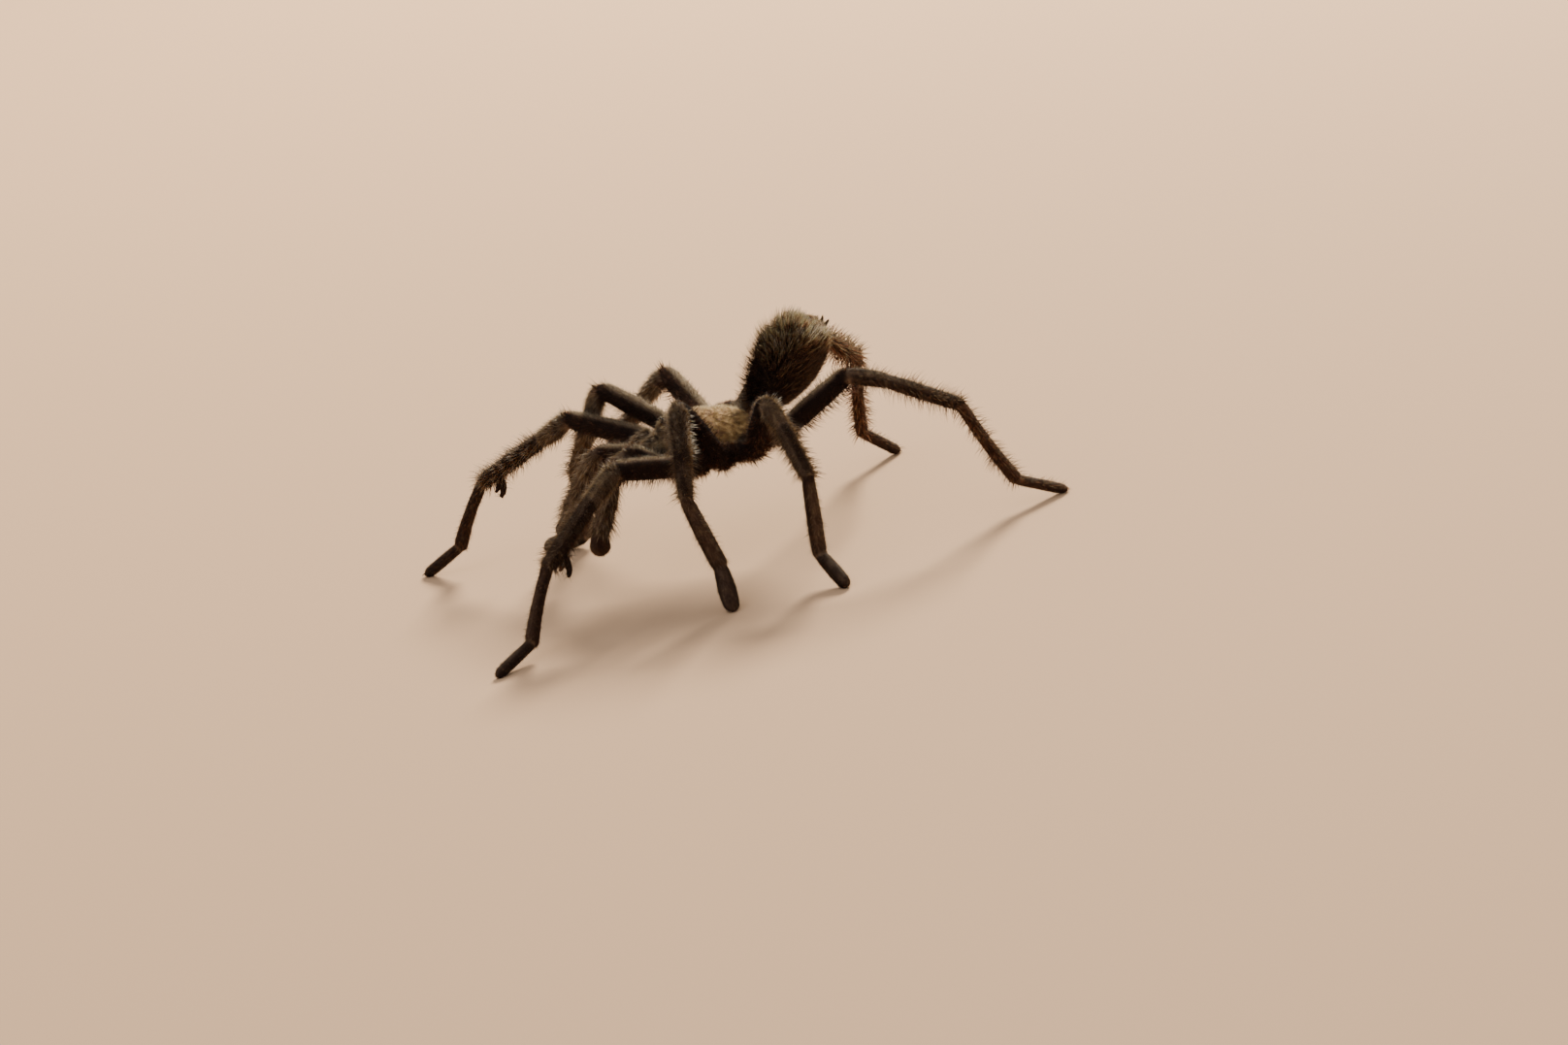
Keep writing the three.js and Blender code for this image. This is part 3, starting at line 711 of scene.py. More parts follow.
        for _ in range(self.rounds):
            points = spread(points, 1, 0.55)
            points = spread(points, 1, -0.57)
        points = spread(points, 2, 0.5)
        fields = self.locate(points)
        self.haired(points, fields)
        for key in ("depth", "tone", "rust", "gilt", "tuft", "seta", "share", "lift",
                    "seta_tone", "fuzz_tone"):
            fields[key] = spread(fields[key][:, None], 2)[:, 0]
        mesh.vertices.foreach_set("co", (points * MM).ravel())
        mesh.update()
        normals = np.empty(len(points) * 3)
        mesh.vertices.foreach_get("normal", normals)
        normals = normals.reshape(-1, 3)
        points = points - normals * fields["depth"][:, None]
        points[:, 2] = np.maximum(points[:, 2], FLOOR_GAP)
        mesh.vertices.foreach_set("co", (points * MM).ravel())
        mesh.update()
        fields["points"] = points
        for name in ("tone", "rust", "gilt", "pale"):
            mesh.attributes.new(name, "FLOAT", "POINT").data.foreach_set("value", fields[name])
        grain = mesh.attributes.new("grain", "FLOAT_VECTOR", "POINT")
        grain.data.foreach_set("vector", fields["grain"].ravel())
        mesh.polygons.foreach_set("use_smooth", [True] * len(mesh.polygons))
        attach(skin, BODY)
        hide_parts(*self.flesh())
        return skin, fields

    def locate(self, points: np.ndarray) -> dict[str, np.ndarray]:
        """Finds where on the animal each point is.

        Args:
            points: in millimetres.

        Returns:
            Fields: owner, axis, along, cosine and sine of the angle round the axis from the back,
            distance from it, direction towards the tip, and whether it is beyond a patella.
        """
        count = len(points)
        owner = self.anatomy.owners_of(points)
        out = {"owner": owner, "axis": np.zeros(count, int), "along": np.zeros(count),
               "cos": np.ones(count), "sin": np.zeros(count),
               "radius": np.ones(count), "way": np.zeros((count, 3)), "past": np.zeros(count, bool)}
        for number, axis in enumerate(self.anatomy.axes):
            mine = np.isin(owner, list(set(axis.nodes)))
            if not mine.any():
                continue
            here = points[mine]
            nearest = np.linalg.norm(here[:, None] - axis.points[None], axis=2).argmin(1)
            way, up = axis.ways[nearest], axis.up[nearest]
            offset = here - axis.points[nearest]
            ahead = (offset * way).sum(1)
            radial = offset - ahead[:, None] * way
            radius = np.maximum(np.linalg.norm(radial, axis=1), 1e-3)
            side = np.cross(up, way)
            along = axis.along[nearest] + ahead
            out["axis"][mine] = number
            out["along"][mine] = along
            out["cos"][mine] = (radial * up).sum(1) / radius
            out["sin"][mine] = (radial * side).sum(1) / radius
            out["radius"][mine] = radius
            out["way"][mine] = way
            out["past"][mine] = along > axis.joints.get("patella_end", 0)
        return out

    def haired(self, points: np.ndarray, fields: dict[str, np.ndarray]) -> None:
        """Adds to the fields how the coat lies, how long it is and how it is coloured.

        Args:
            points: the skin's points in millimetres.
            fields: what locate gave, which gets the values that the coat and the materials read.
        """
        names = np.array([pelt_name(o, p) for o, p in zip(fields["owner"], fields["past"])])
        coat = {key: np.array([getattr(PELTS[name], key) for name in names.tolist()], dtype=float)
                for key in ("depth", "tuft", "seta", "below", "share", "lift", "tone", "rust")}
        cos = fields["cos"]
        coat["seta"] = coat["seta"] + (coat["below"] - coat["seta"]) * smoothstep(-cos, -0.3, 0.6)
        # The underside of the chest and hips is shaggier than the rest.
        shaggy = np.isin(names, ["coxa", "sternum"]) * smoothstep(-cos, -0.3, 0.5)
        coat["depth"] -= 0.2 * shaggy
        is_limb = np.array([n.startswith(("leg", "palp")) for n in fields["owner"].tolist()])
        self.mark_limbs(names, is_limb, fields, coat)
        pale = self.groove_joints(fields, coat)
        worn = self.mark_abdomen(points, names == "abdomen", cos, coat)
        coat["gilt"][names == "spinneret"] = 1.0
        # Pale and dark bands by turns run down the length of each chelicera.
        angle = np.abs(np.arctan2(fields["sin"], cos))
        coat["tone"] += np.where(names == "chelicera", 0.4 * np.cos(3 * angle), 0)
        coat["gilt"][names == "chelicera"] = 0.4
        lie = fields["way"].copy()
        self.mark_carapace(points, names == "carapace", coat, lie)
        coat["tone"] += np.where(is_limb, 0.05, 0.03) * swirl(points, 2.4, 11)[:, 0]
        lie[names == "sternum"] = tilt_body([0, 1, -0.2])
        length = 1 + 0.12 * swirl(points, 4.0, 8)[:, 1]
        # The spurs of the first tibiae stand out of the limb: hard, dark and bare.
        spur = np.isin(fields["owner"], ["leg_left_1_tibia", "leg_right_1_tibia"])
        spur &= (fields["radius"] > SPUR_START) & (cos < -0.2)
        haired = (1 - np.clip(pale, 0, 1)) * (1 - 0.8 * worn)
        haired[spur] = 0.3
        coat["depth"][spur], coat["tone"][spur] = -0.1, 0.1
        fields.update({
            "depth": coat["depth"], "lift": coat["lift"], "rust": coat["rust"], "gilt": coat["gilt"],
            "tuft": coat["tuft"] * length * (1 - 0.7 * (1 - haired)) * (1 + 0.6 * shaggy),
            "seta": coat["seta"] * length * (1 - 0.5 * (1 - haired)),
            "share_tuft": 0.25 + 0.75 * haired, "share_fuzz": coat["share_fuzz"] * haired,
            "share": coat["share"] * haired,
            "tone": np.clip(coat["tone"], 0, 1), "fuzz_tone": np.clip(coat["tone"] + coat["paler"], 0, 1),
            "seta_tone": np.clip(coat["seta_tone"], 0, 1),
            "pale": pale, "lie": unit(lie + 0.12 * swirl(points, 2.6, 3)),
            "grain": np.stack([fields["along"], fields["radius"] * cos, fields["radius"] * fields["sin"]], 1),
        })
        fields["share_tuft"][spur] = 0.6

    def mark_limbs(self, names: np.ndarray, is_limb: np.ndarray, fields: dict[str, np.ndarray],
                   coat: dict[str, np.ndarray]) -> None:
        """Colours the coat along the legs and palps, with painted highlight along their backs and sides, and
        starts the colours of its long and raised hairs.

        Args:
            names: the pelt of each point.
            is_limb: whether it is on a leg or palp.
            fields: what locate gave.
            coat: the coat's values, which get share_fuzz, seta_tone, paler and gilt.
        """
        cos, past, owner = fields["cos"], fields["past"], fields["owner"].astype(str)
        angle = np.abs(np.arctan2(fields["sin"], cos))
        # Painted highlight: a narrow pale ridge of short fuzz along the back of every limb stands in for the
        # rim light that the hair catches from behind; the underside is made a little darker, and the flanks
        # are dark.
        on_femur = np.isin(names, ["femur", "hind_femur", "palp_femur"])
        lit_ridge = np.where(on_femur, smoothstep(cos, 0.6, 0.97), smoothstep(cos, 0.42, 0.88))
        tone = coat["tone"]
        painted_ridge_highlight = np.where(on_femur, 0.6, 0.22) * lit_ridge - 0.05 * smoothstep(-cos, 0.2, 0.9)
        tone += np.where(is_limb, painted_ridge_highlight, 0)
        # The first tibiae are darker than their patellae.
        tone -= np.where(np.char.endswith(owner, "_1_tibia"), 0.13 * past, 0)
        # The second and third tibiae are dark down the middle of the back; their paler sides are painted
        # highlight, standing in for the rim light that backlit hair catches at the outline.
        mid_pair = np.isin(np.char.partition(owner, "_")[:, 2], [
            f"{side.word}_{pair}_tibia" for side in Side for pair in (2, 3)])
        tone += np.where(mid_pair, -0.34 * bump_at(angle, 0, 0.6) * (0.45 + 0.55 * past)
                         + 0.12 * bump_at(angle, 1.35, 0.5), 0)
        # Two pale lines run down the back of each patella and tibia: the inner one is the coat's own stripe;
        # the outer one, on the side, also stands in for rim light on backlit hair, a painted highlight.
        striped = np.isin(names, ["patella", "hind_patella", "palp_patella",
                                  "tibia", "hind_tibia", "palp_tibia"])
        tone += np.where(striped, 0.18 * bump_at(angle, 0.75, 0.15) + 0.12 * bump_at(angle, 1.5, 0.12), 0)
        coat["share_fuzz"] = np.where(on_femur, 0.3 + 1.6 * lit_ridge, 1.0)
        coat["share_fuzz"][np.isin(names, ["metatarsus", "hind_metatarsus"])] = 0.55
        # The long hairs are darker than the coat, and darkest on the femora and the fourth legs.
        over = np.where(np.char.startswith(names, "hind"), 0.03, 0.16)
        # Along the femora's ridge the long hairs and the raised fuzz are made paler as well: painted
        # highlight.
        coat["seta_tone"] = np.where(on_femur, 0.04 + 0.2 * lit_ridge, 0.7 * tone + over)
        coat["paler"] = np.where(on_femur, 0.16 * lit_ridge, 0.12)
        coat["gilt"] = np.full(len(names), 0.15)

    def groove_joints(self, fields: dict[str, np.ndarray], coat: dict[str, np.ndarray]) -> np.ndarray:
        """Sinks a ring into the skin at each joint of the legs and palps.

        Args:
            fields: what locate gave.
            coat: the coat's values, whose depth grows at the joints.

        Returns:
            How bare and pale each point is.
        """
        pale = np.zeros(len(fields["along"]))
        for number, axis in enumerate(self.anatomy.axes):
            if not axis.joints:
                continue
            mine = fields["axis"] == number
            for joint, (groove, width, bare) in JOINT_RINGS.items():
                if joint not in axis.joints:
                    continue
                if joint == "tarsus" and axis.name.startswith("palp"):
                    bare = PALP_TARSUS_BARE
                ring = bump_at(fields["along"][mine], axis.joints[joint], width)
                # The knee's membrane shows most below.
                lower = 0.35 + 0.65 * smoothstep(-fields["cos"][mine], -0.1, 0.6) if joint == "tibia" else 1.0
                coat["depth"][mine] += groove * ring
                pale[mine] = np.maximum(pale[mine], bare * ring * lower)
        return pale

    def mark_abdomen(self, points: np.ndarray, on_abdomen: np.ndarray, cos: np.ndarray,
                     coat: dict[str, np.ndarray]) -> np.ndarray:
        """Dresses the abdomen: black below, gold on its raised half, with a bristling front.

        Args:
            points: the skin's points in millimetres.
            on_abdomen: whether each is on the abdomen.
            cos: the cosine of the angle round the axis from the back.
            coat: the coat's values.

        Returns:
            How far the hair of each point is worn off.
        """
        middle = self.anatomy.middle("abdomen")
        height, tailwards = points[:, 2] - middle[2], points[:, 1] - middle[1]
        gold = np.where(on_abdomen, smoothstep(height + 0.8 * swirl(points, 5, 5)[:, 0], -0.8, 6.0), 0)
        front = np.where(on_abdomen, smoothstep(cos, 0.2, 0.75) * (1 - smoothstep(height, 6.0, 9.0)), 0)
        # One small patch on its back by the tail is worn down to the dark skin.
        away = np.linalg.norm(points - (middle + np.array(WORN_PATCH)), axis=1)
        worn = np.where(on_abdomen, bump_at(away, 0, WORN_REACH), 0)
        # Only on the crown by the tail do its hairs lie short and close; further forward they stand off.
        crown = np.where(on_abdomen, smoothstep(tailwards, 1.5, 5.0) * smoothstep(height, 3.0, 6.0), 0)
        longer = coat["seta"] + 0.5 * gold * (1 - smoothstep(height, 6.5, 9.5)) - 0.1 * front
        coat["seta"] = np.where(on_abdomen, longer, coat["seta"]) * (1 - 0.6 * crown)
        coat["lift"] += np.where(on_abdomen, 42 * front - 4 * gold, 0)
        coat["lift"] -= 12 * crown
        coat["tone"] += gold * (0.14 + 0.1 * swirl(points, 1.6, 31)[:, 0]) - 0.4 * worn
        streaks = 0.42 - 0.2 * front + 0.16 * swirl(points, 1.3, 32)[:, 0]
        strands = 0.04 + smoothstep(gold, 0.1, 0.8) * streaks
        coat["seta_tone"] = np.where(on_abdomen, strands, coat["seta_tone"])
        coat["share"] = coat["share"] * np.where(on_abdomen, 0.3 + 0.6 * gold + 0.45 * front, 1)
        coat["share_fuzz"][on_abdomen] = 0.4
        coat["rust"] = coat["rust"] + 0.5 * gold
        coat["gilt"][on_abdomen] = 1.0
        return worn

    def mark_carapace(self, points: np.ndarray, on_carapace: np.ndarray, coat: dict[str, np.ndarray],
                      lie: np.ndarray) -> None:
        """Dresses the carapace: gold, clumped, with dark spokes and a darker, shaggier face.

        Args:
            points: the skin's points in millimetres.
            on_carapace: whether each is on the carapace.
            coat: the coat's values.
            lie: the way the hairs lie, which here is outwards from the middle.
        """
        spread_out = points - (self.anatomy.middle("carapace") + tilt_body([0, 1.6, 0]))
        ahead = spread_out @ tilt_body([0, -1, 0])
        spokes = np.arctan2(spread_out @ tilt_body([1, 0, 0]), ahead)
        from_middle = np.linalg.norm(spread_out, axis=1)
        streak = np.clip(np.cos(spokes * 8), 0, 1) ** 6 * smoothstep(from_middle, 1.5, 4)
        mottle = swirl(points, 1.4, 21)
        clumps = (0.18 * mottle[:, 0] + 0.12 * swirl(points, 2.6, 23)[:, 0]
                  + 0.26 * swirl(points, 0.65, 22)[:, 0])
        coat["tone"] += np.where(on_carapace, clumps - 0.14 * streak - 0.2 * bump_at(from_middle, 0, 2.0), 0)
        face = smoothstep(ahead, 7.2, 9.0)
        coat["tone"] -= np.where(on_carapace, 0.3 * face, 0)
        coat["seta"] = coat["seta"] + np.where(on_carapace, 0.3 * face, 0)
        coat["lift"] += np.where(on_carapace, 8 * face, 0)
        coat["gilt"] = np.where(on_carapace, 1 - 0.5 * face, coat["gilt"])
        outward = unit(spread_out) + 0.5 * tilt_body([0, -1, 0]) * smoothstep(ahead, 0, 4)[:, None]
        lie[on_carapace] = (outward + 0.7 * mottle)[on_carapace]


# ------------------------------------------------------------------------------ finishes


def blank_material(name: str) -> tuple[bpy.types.Material, bpy.types.NodeTree]:
    """Makes a material with nothing in its tree.

    Args:
        name: the material's name.

    Returns:
        The material and its empty tree.
    """
    made = bpy.data.materials.new(name)
    made.use_nodes = True
    made.node_tree.nodes.clear()
    return made, made.node_tree


def add_shader(tree: bpy.types.NodeTree, inputs: dict[Any, Any]) -> None:
    """Ends a material's tree with its shader.

    Args:
        tree: the tree.
        inputs: the shader's values and links.
    """
    shader = add_node(tree, "ShaderNodeBsdfPrincipled", None, inputs)
    add_node(tree, "ShaderNodeOutputMaterial", None, {"Surface": shader.outputs[0]})


def attribute(tree: bpy.types.NodeTree, name: str, output: str = "Fac") -> bpy.types.NodeSocket:
    """The socket of a mesh attribute in a material."""
    return add_node(tree, "ShaderNodeAttribute", {"attribute_name": name}).outputs[output]


def mixed(tree: bpy.types.NodeTree, share: Any, first: Any, second: Any) -> bpy.types.NodeSocket:
    """The socket of a colour between two others, at a share of the way to the second."""
    return add_node(tree, "ShaderNodeMix", {"data_type": "RGBA"},
                    {0: share, 6: first, 7: second}).outputs[2]


def calculated(tree: bpy.types.NodeTree, operation: str, *values: Any) -> bpy.types.NodeSocket:
    """The socket of a math node's result."""
    return add_node(tree, "ShaderNodeMath", {"operation": operation}, dict(enumerate(values))).outputs[0]


@dataclass(frozen=True)
class CoatColours:
    """The colours of the coat from its darkest to its palest, shared by the hair and the skin under it."""

    drab: tuple[tuple[float, str], ...] = (
        (0.0, "#120c0b"), (0.2, "#352822"), (0.42, "#5d4e41"), (0.68, "#9c8a6e"), (1.0, "#d9cbac"))
    gilded: tuple[tuple[float, str], ...] = (
        (0.0, "#1d1410"), (0.2, "#432f20"), (0.42, "#73553a"), (0.68, "#b9935e"), (1.0, "#e8cb95"))
    rust: str = "#4c3025"
    rust_share: float = 0.55  # how much of the colour the rust takes where it is strongest

    def of(self, tree: bpy.types.NodeTree, level: bpy.types.NodeSocket) -> bpy.types.NodeSocket:
        """The colour for a level from 0, near black, to 1, pale straw, reddened where the coat is.

        Args:
            tree: the material's tree.
            level: the socket with the level.

        Returns:
            The socket with the colour.
        """
        ramps = []
        for stops in (self.drab, self.gilded):
            ramps.append(add_node(tree, "ShaderNodeValToRGB", None, {0: level}))
            set_ramp(ramps[-1], stops)
        hue = mixed(tree, attribute(tree, "gilt"), ramps[0].outputs[0], ramps[1].outputs[0])
        reddened = calculated(tree, "MULTIPLY", attribute(tree, "rust"), self.rust_share)
        return mixed(tree, reddened, hue, linear(self.rust))


@dataclass(frozen=True)
class Cuticle:
    """Tarantula cuticle: dark chitin under dense fine hair, bare and pale at the joint membranes."""

    membrane: str = "#86705c"
    hair_pitch: float = 0.12  # mm between the hair streaks that the bump draws
    shade: float = -0.12  # how much darker the skin is than the coat above it
    streak: float = 0.3  # how far the streaks go from dark to pale

    def material(self) -> bpy.types.Material:
        """Makes the skin's material.

        Returns:
            The material.
        """
        made, tree = blank_material("haired_chitin")
        tone, pale = attribute(tree, "tone"), attribute(tree, "pale")
        # Streaks run along the limb: the grain is stretched eight times along its length.
        run = add_node(tree, "ShaderNodeVectorMath", {"operation": "MULTIPLY"},
                       {0: attribute(tree, "grain", "Vector"), 1: (0.13, 1.0, 1.0)})
        streaks = add_node(tree, "ShaderNodeTexNoise", {"noise_dimensions": "3D"},
                           {"Vector": run.outputs[0], "Scale": 1 / self.hair_pitch / 3, "Detail": 3.0})
        shifted = calculated(tree, "MULTIPLY_ADD", streaks.outputs[0], self.streak,
                             self.shade - self.streak / 2)
        level = calculated(tree, "ADD", tone, shifted)
        bare = mixed(tree, pale, CoatColours().of(tree, level), linear(self.membrane))
        bump = add_node(tree, "ShaderNodeBump", None,
                        {"Height": streaks.outputs[0], "Strength": 0.5, "Distance": 0.00008})
        add_shader(tree, {"Base Color": bare, "Normal": bump.outputs[0],
                          "Roughness": 0.75, "Specular IOR Level": 0.12})
        return made


def set_ramp(ramp: bpy.types.Node, stops: tuple[tuple[float, str], ...]) -> None:
    """Sets a colour ramp's stops.

    Args:
        ramp: the ColorRamp node.
        stops: its places and hex colours.
    """
    elements = ramp.color_ramp.elements
    while len(elements) < len(stops):
        elements.new(0.5)
    for element, (place, colour) in zip(elements, stops):
        element.position = place
        element.color = linear(colour)


@dataclass(frozen=True)
class CoatHair:
    """Tarantula hair: fine chitin bristles, dark at the root and paler towards the tip."""

    variety: float = 0.12  # how much the hairs of one lock differ
    tip: float = 0.2  # how much paler a hair is at its tip
    glow: float = 0.15  # mm that light travels inside a hair: against the sun the fringes light up

    def material(self) -> bpy.types.Material:
        """Makes the hair's material, coloured by each hair's own tone.

        Returns:
            The material.
        """
        made, tree = blank_material("fine_bristle")
        # strand holds (a number of the hair's own, its place from root 0 to tip 1, 0)
        parts = add_node(tree, "ShaderNodeSeparateXYZ", None, {0: attribute(tree, "strand", "Vector")})
        varied = calculated(tree, "MULTIPLY_ADD", parts.outputs[0], self.variety, attribute(tree, "tone"))
        paler = calculated(tree, "MULTIPLY_ADD", parts.outputs[1], self.tip, varied)
        level = calculated(tree, "SUBTRACT", paler, (self.variety + self.tip) / 2)
        # Light that goes through a hair comes out warmer: red travels farthest in it.
        add_shader(tree, {"Base Color": CoatColours().of(tree, level),
                          "Subsurface Weight": 0.3, "Subsurface Radius": (1.0, 0.7, 0.42),
                          "Subsurface Scale": self.glow * MM,
                          "Roughness": 0.7, "Specular IOR Level": 0.08})
        return made


@dataclass(frozen=True)
class Horn:
    """Hard black-brown chitin of fangs, claws and spines: smooth and shiny, clouded with red."""

    base: str = "#0d0705"
    cloud: str = "#3a160c"

    def material(self) -> bpy.types.Material:
        """Makes the horn's material.

        Returns:
            The material.
        """
        made, tree = blank_material("polished_chitin")
        place = add_node(tree, "ShaderNodeTexCoord")
        noise = add_node(tree, "ShaderNodeTexNoise", None,
                         {"Vector": place.outputs["Object"], "Scale": 1600.0, "Detail": 2.0})
        colour = mixed(tree, noise.outputs[0], linear(self.base), linear(self.cloud))
        bump = add_node(tree, "ShaderNodeBump", None,
                        {"Height": noise.outputs[0], "Strength": 0.15, "Distance": 0.00005})
        add_shader(tree, {"Base Color": colour, "Roughness": 0.22, "Normal": bump.outputs[0]})
        return made


@dataclass(frozen=True)
class EyeLens:
    """A spider's eye: black and wet looking under a clear coat, with a little amber in it."""

    base: str = "#050406"
    amber: str = "#2a1a10"

    def material(self) -> bpy.types.Material:
        """Makes the eye's material.

        Returns:
            The material.
        """
        made, tree = blank_material("eye_lens")
        place = add_node(tree, "ShaderNodeTexCoord")
        noise = add_node(tree, "ShaderNodeTexNoise", None,
                         {"Vector": place.outputs["Object"], "Scale": 2500.0})
        colour = mixed(tree, noise.outputs[0], linear(self.base), linear(self.amber))
        add_shader(tree, {"Base Color": colour, "Roughness": 0.16, "Specular IOR Level": 0.4,
                          "Coat Weight": 0.3, "Coat Roughness": 0.1})
        return made


@dataclass(frozen=True)
class Sandstone:
    """The plain pale floor."""

    colour: str = "#ebc39c"

    def material(self) -> bpy.types.Material:
        """Makes the floor's material.

        Returns:
            The material.
        """
        made = bpy.data.materials.new("pale_floor")
        made.use_nodes = True
        shader = made.node_tree.nodes["Principled BSDF"]
        shader.inputs["Base Color"].default_value = linear(self.colour)
        shader.inputs["Roughness"].default_value = 0.9
        return made


# ------------------------------------------------------------------------------ hair


@dataclass(frozen=True)
class Spike:
    """One hair of a tuft, one unit long.

    Attributes:
        root: where it starts on the skin, across and along.
        heading: which way it leans, in degrees from the lie of the coat.
        rise: how steeply it leaves the skin, in degrees.
        length: its length.
        number: its own number from 0 to 1, for its colour.
    """

    root: tuple[float, float]
    heading: float
    rise: float
    length: float
    number: float


@dataclass(frozen=True)
class Lock:
    """A small bunch of hairs that is laid on the skin many times.

    Attributes:
        name: the lock's name.
        hairs: its hairs.
        thickness: the thickness of a hair at its root.
        joints: how many bends a hair has between root and tip.
        droop: how far a hair bends back to the skin by its tip, in degrees.
        sunk: how deep its root stands in the skin.
        taper: how soon it thins: below 1 it stays thick for longer.
    """

    name: str
    hairs: tuple[Spike, ...]
    thickness: float
    joints: int = 0
    droop: float = 0.0
    sunk: float = 0.08
    taper: float = 0.7

    def build(self) -> bpy.types.Object:
        """Makes the lock, with each point's strand: the hair's number and the place along it.

        Returns:
            The lock as an object one metre to the unit, leaning towards +X with +Z off the skin.
        """
        points: list[np.ndarray] = []
        faces: list[list[int]] = []
        strand: list[tuple[float, float, float]] = []
        for hair in self.hairs:
            base = len(points)
            turn = math.radians(hair.heading)
            place = np.array([hair.root[0], hair.root[1], -self.sunk])
            rise = math.radians(hair.rise)
            piece = hair.length / (self.joints + 1)
            for ring in range(self.joints + 1):
                radius = self.thickness / 2 * (1 - ring / (self.joints + 1)) ** self.taper
                for corner in range(3):
                    spin = turn + math.radians(90 + 120 * corner)
                    points.append(place + radius * np.array([math.cos(spin), math.sin(spin), 0]))
                    strand.append((hair.number, ring / (self.joints + 1), 0.0))
                bend = rise - math.radians(self.droop) * ring / max(self.joints, 1)
                place = place + piece * np.array([
                    math.cos(turn) * math.cos(bend), math.sin(turn) * math.cos(bend), math.sin(bend)])
            points.append(place)
            strand.append((hair.number, 1.0, 0.0))
            faces.append([base, base + 2, base + 1])
            for ring in range(self.joints):
                low, high = base + 3 * ring, base + 3 * ring + 3
                for corner in range(3):
                    after = (corner + 1) % 3
                    faces.append([low + corner, low + after, high + after, high + corner])
            top, tip = base + 3 * self.joints, base + 3 * (self.joints + 1)
            faces += [[top + corner, top + (corner + 1) % 3, tip] for corner in range(3)]
        made = new_object(self.name, np.array(points) / MM, faces)
        flat = np.array(strand).ravel()
        made.data.attributes.new("strand", "FLOAT_VECTOR", "POINT").data.foreach_set("vector", flat)
        return made


TUFT = Lock("tuft", (
    Spike((0.00, 0.00), -10, 17, 0.92, 0.2), Spike((0.16, 0.13), 6, 26, 1.05, 0.9),
    Spike((-0.14, -0.14), -3, 12, 0.84, 0.5), Spike((0.05, -0.19), 12, 21, 1.0, 0.05)), thickness=0.078)
FUZZ = Lock("fuzz", (
    Spike((0.0, 0.0), -14, 42, 1.1, 0.3), Spike((0.1, 0.2), 12, 58, 1.0, 0.8)), thickness=0.052)
SETA = Lock("seta", (Spike((0, 0), 0, 12, 1.0, 0.5),), thickness=0.085, joints=1, droop=13)


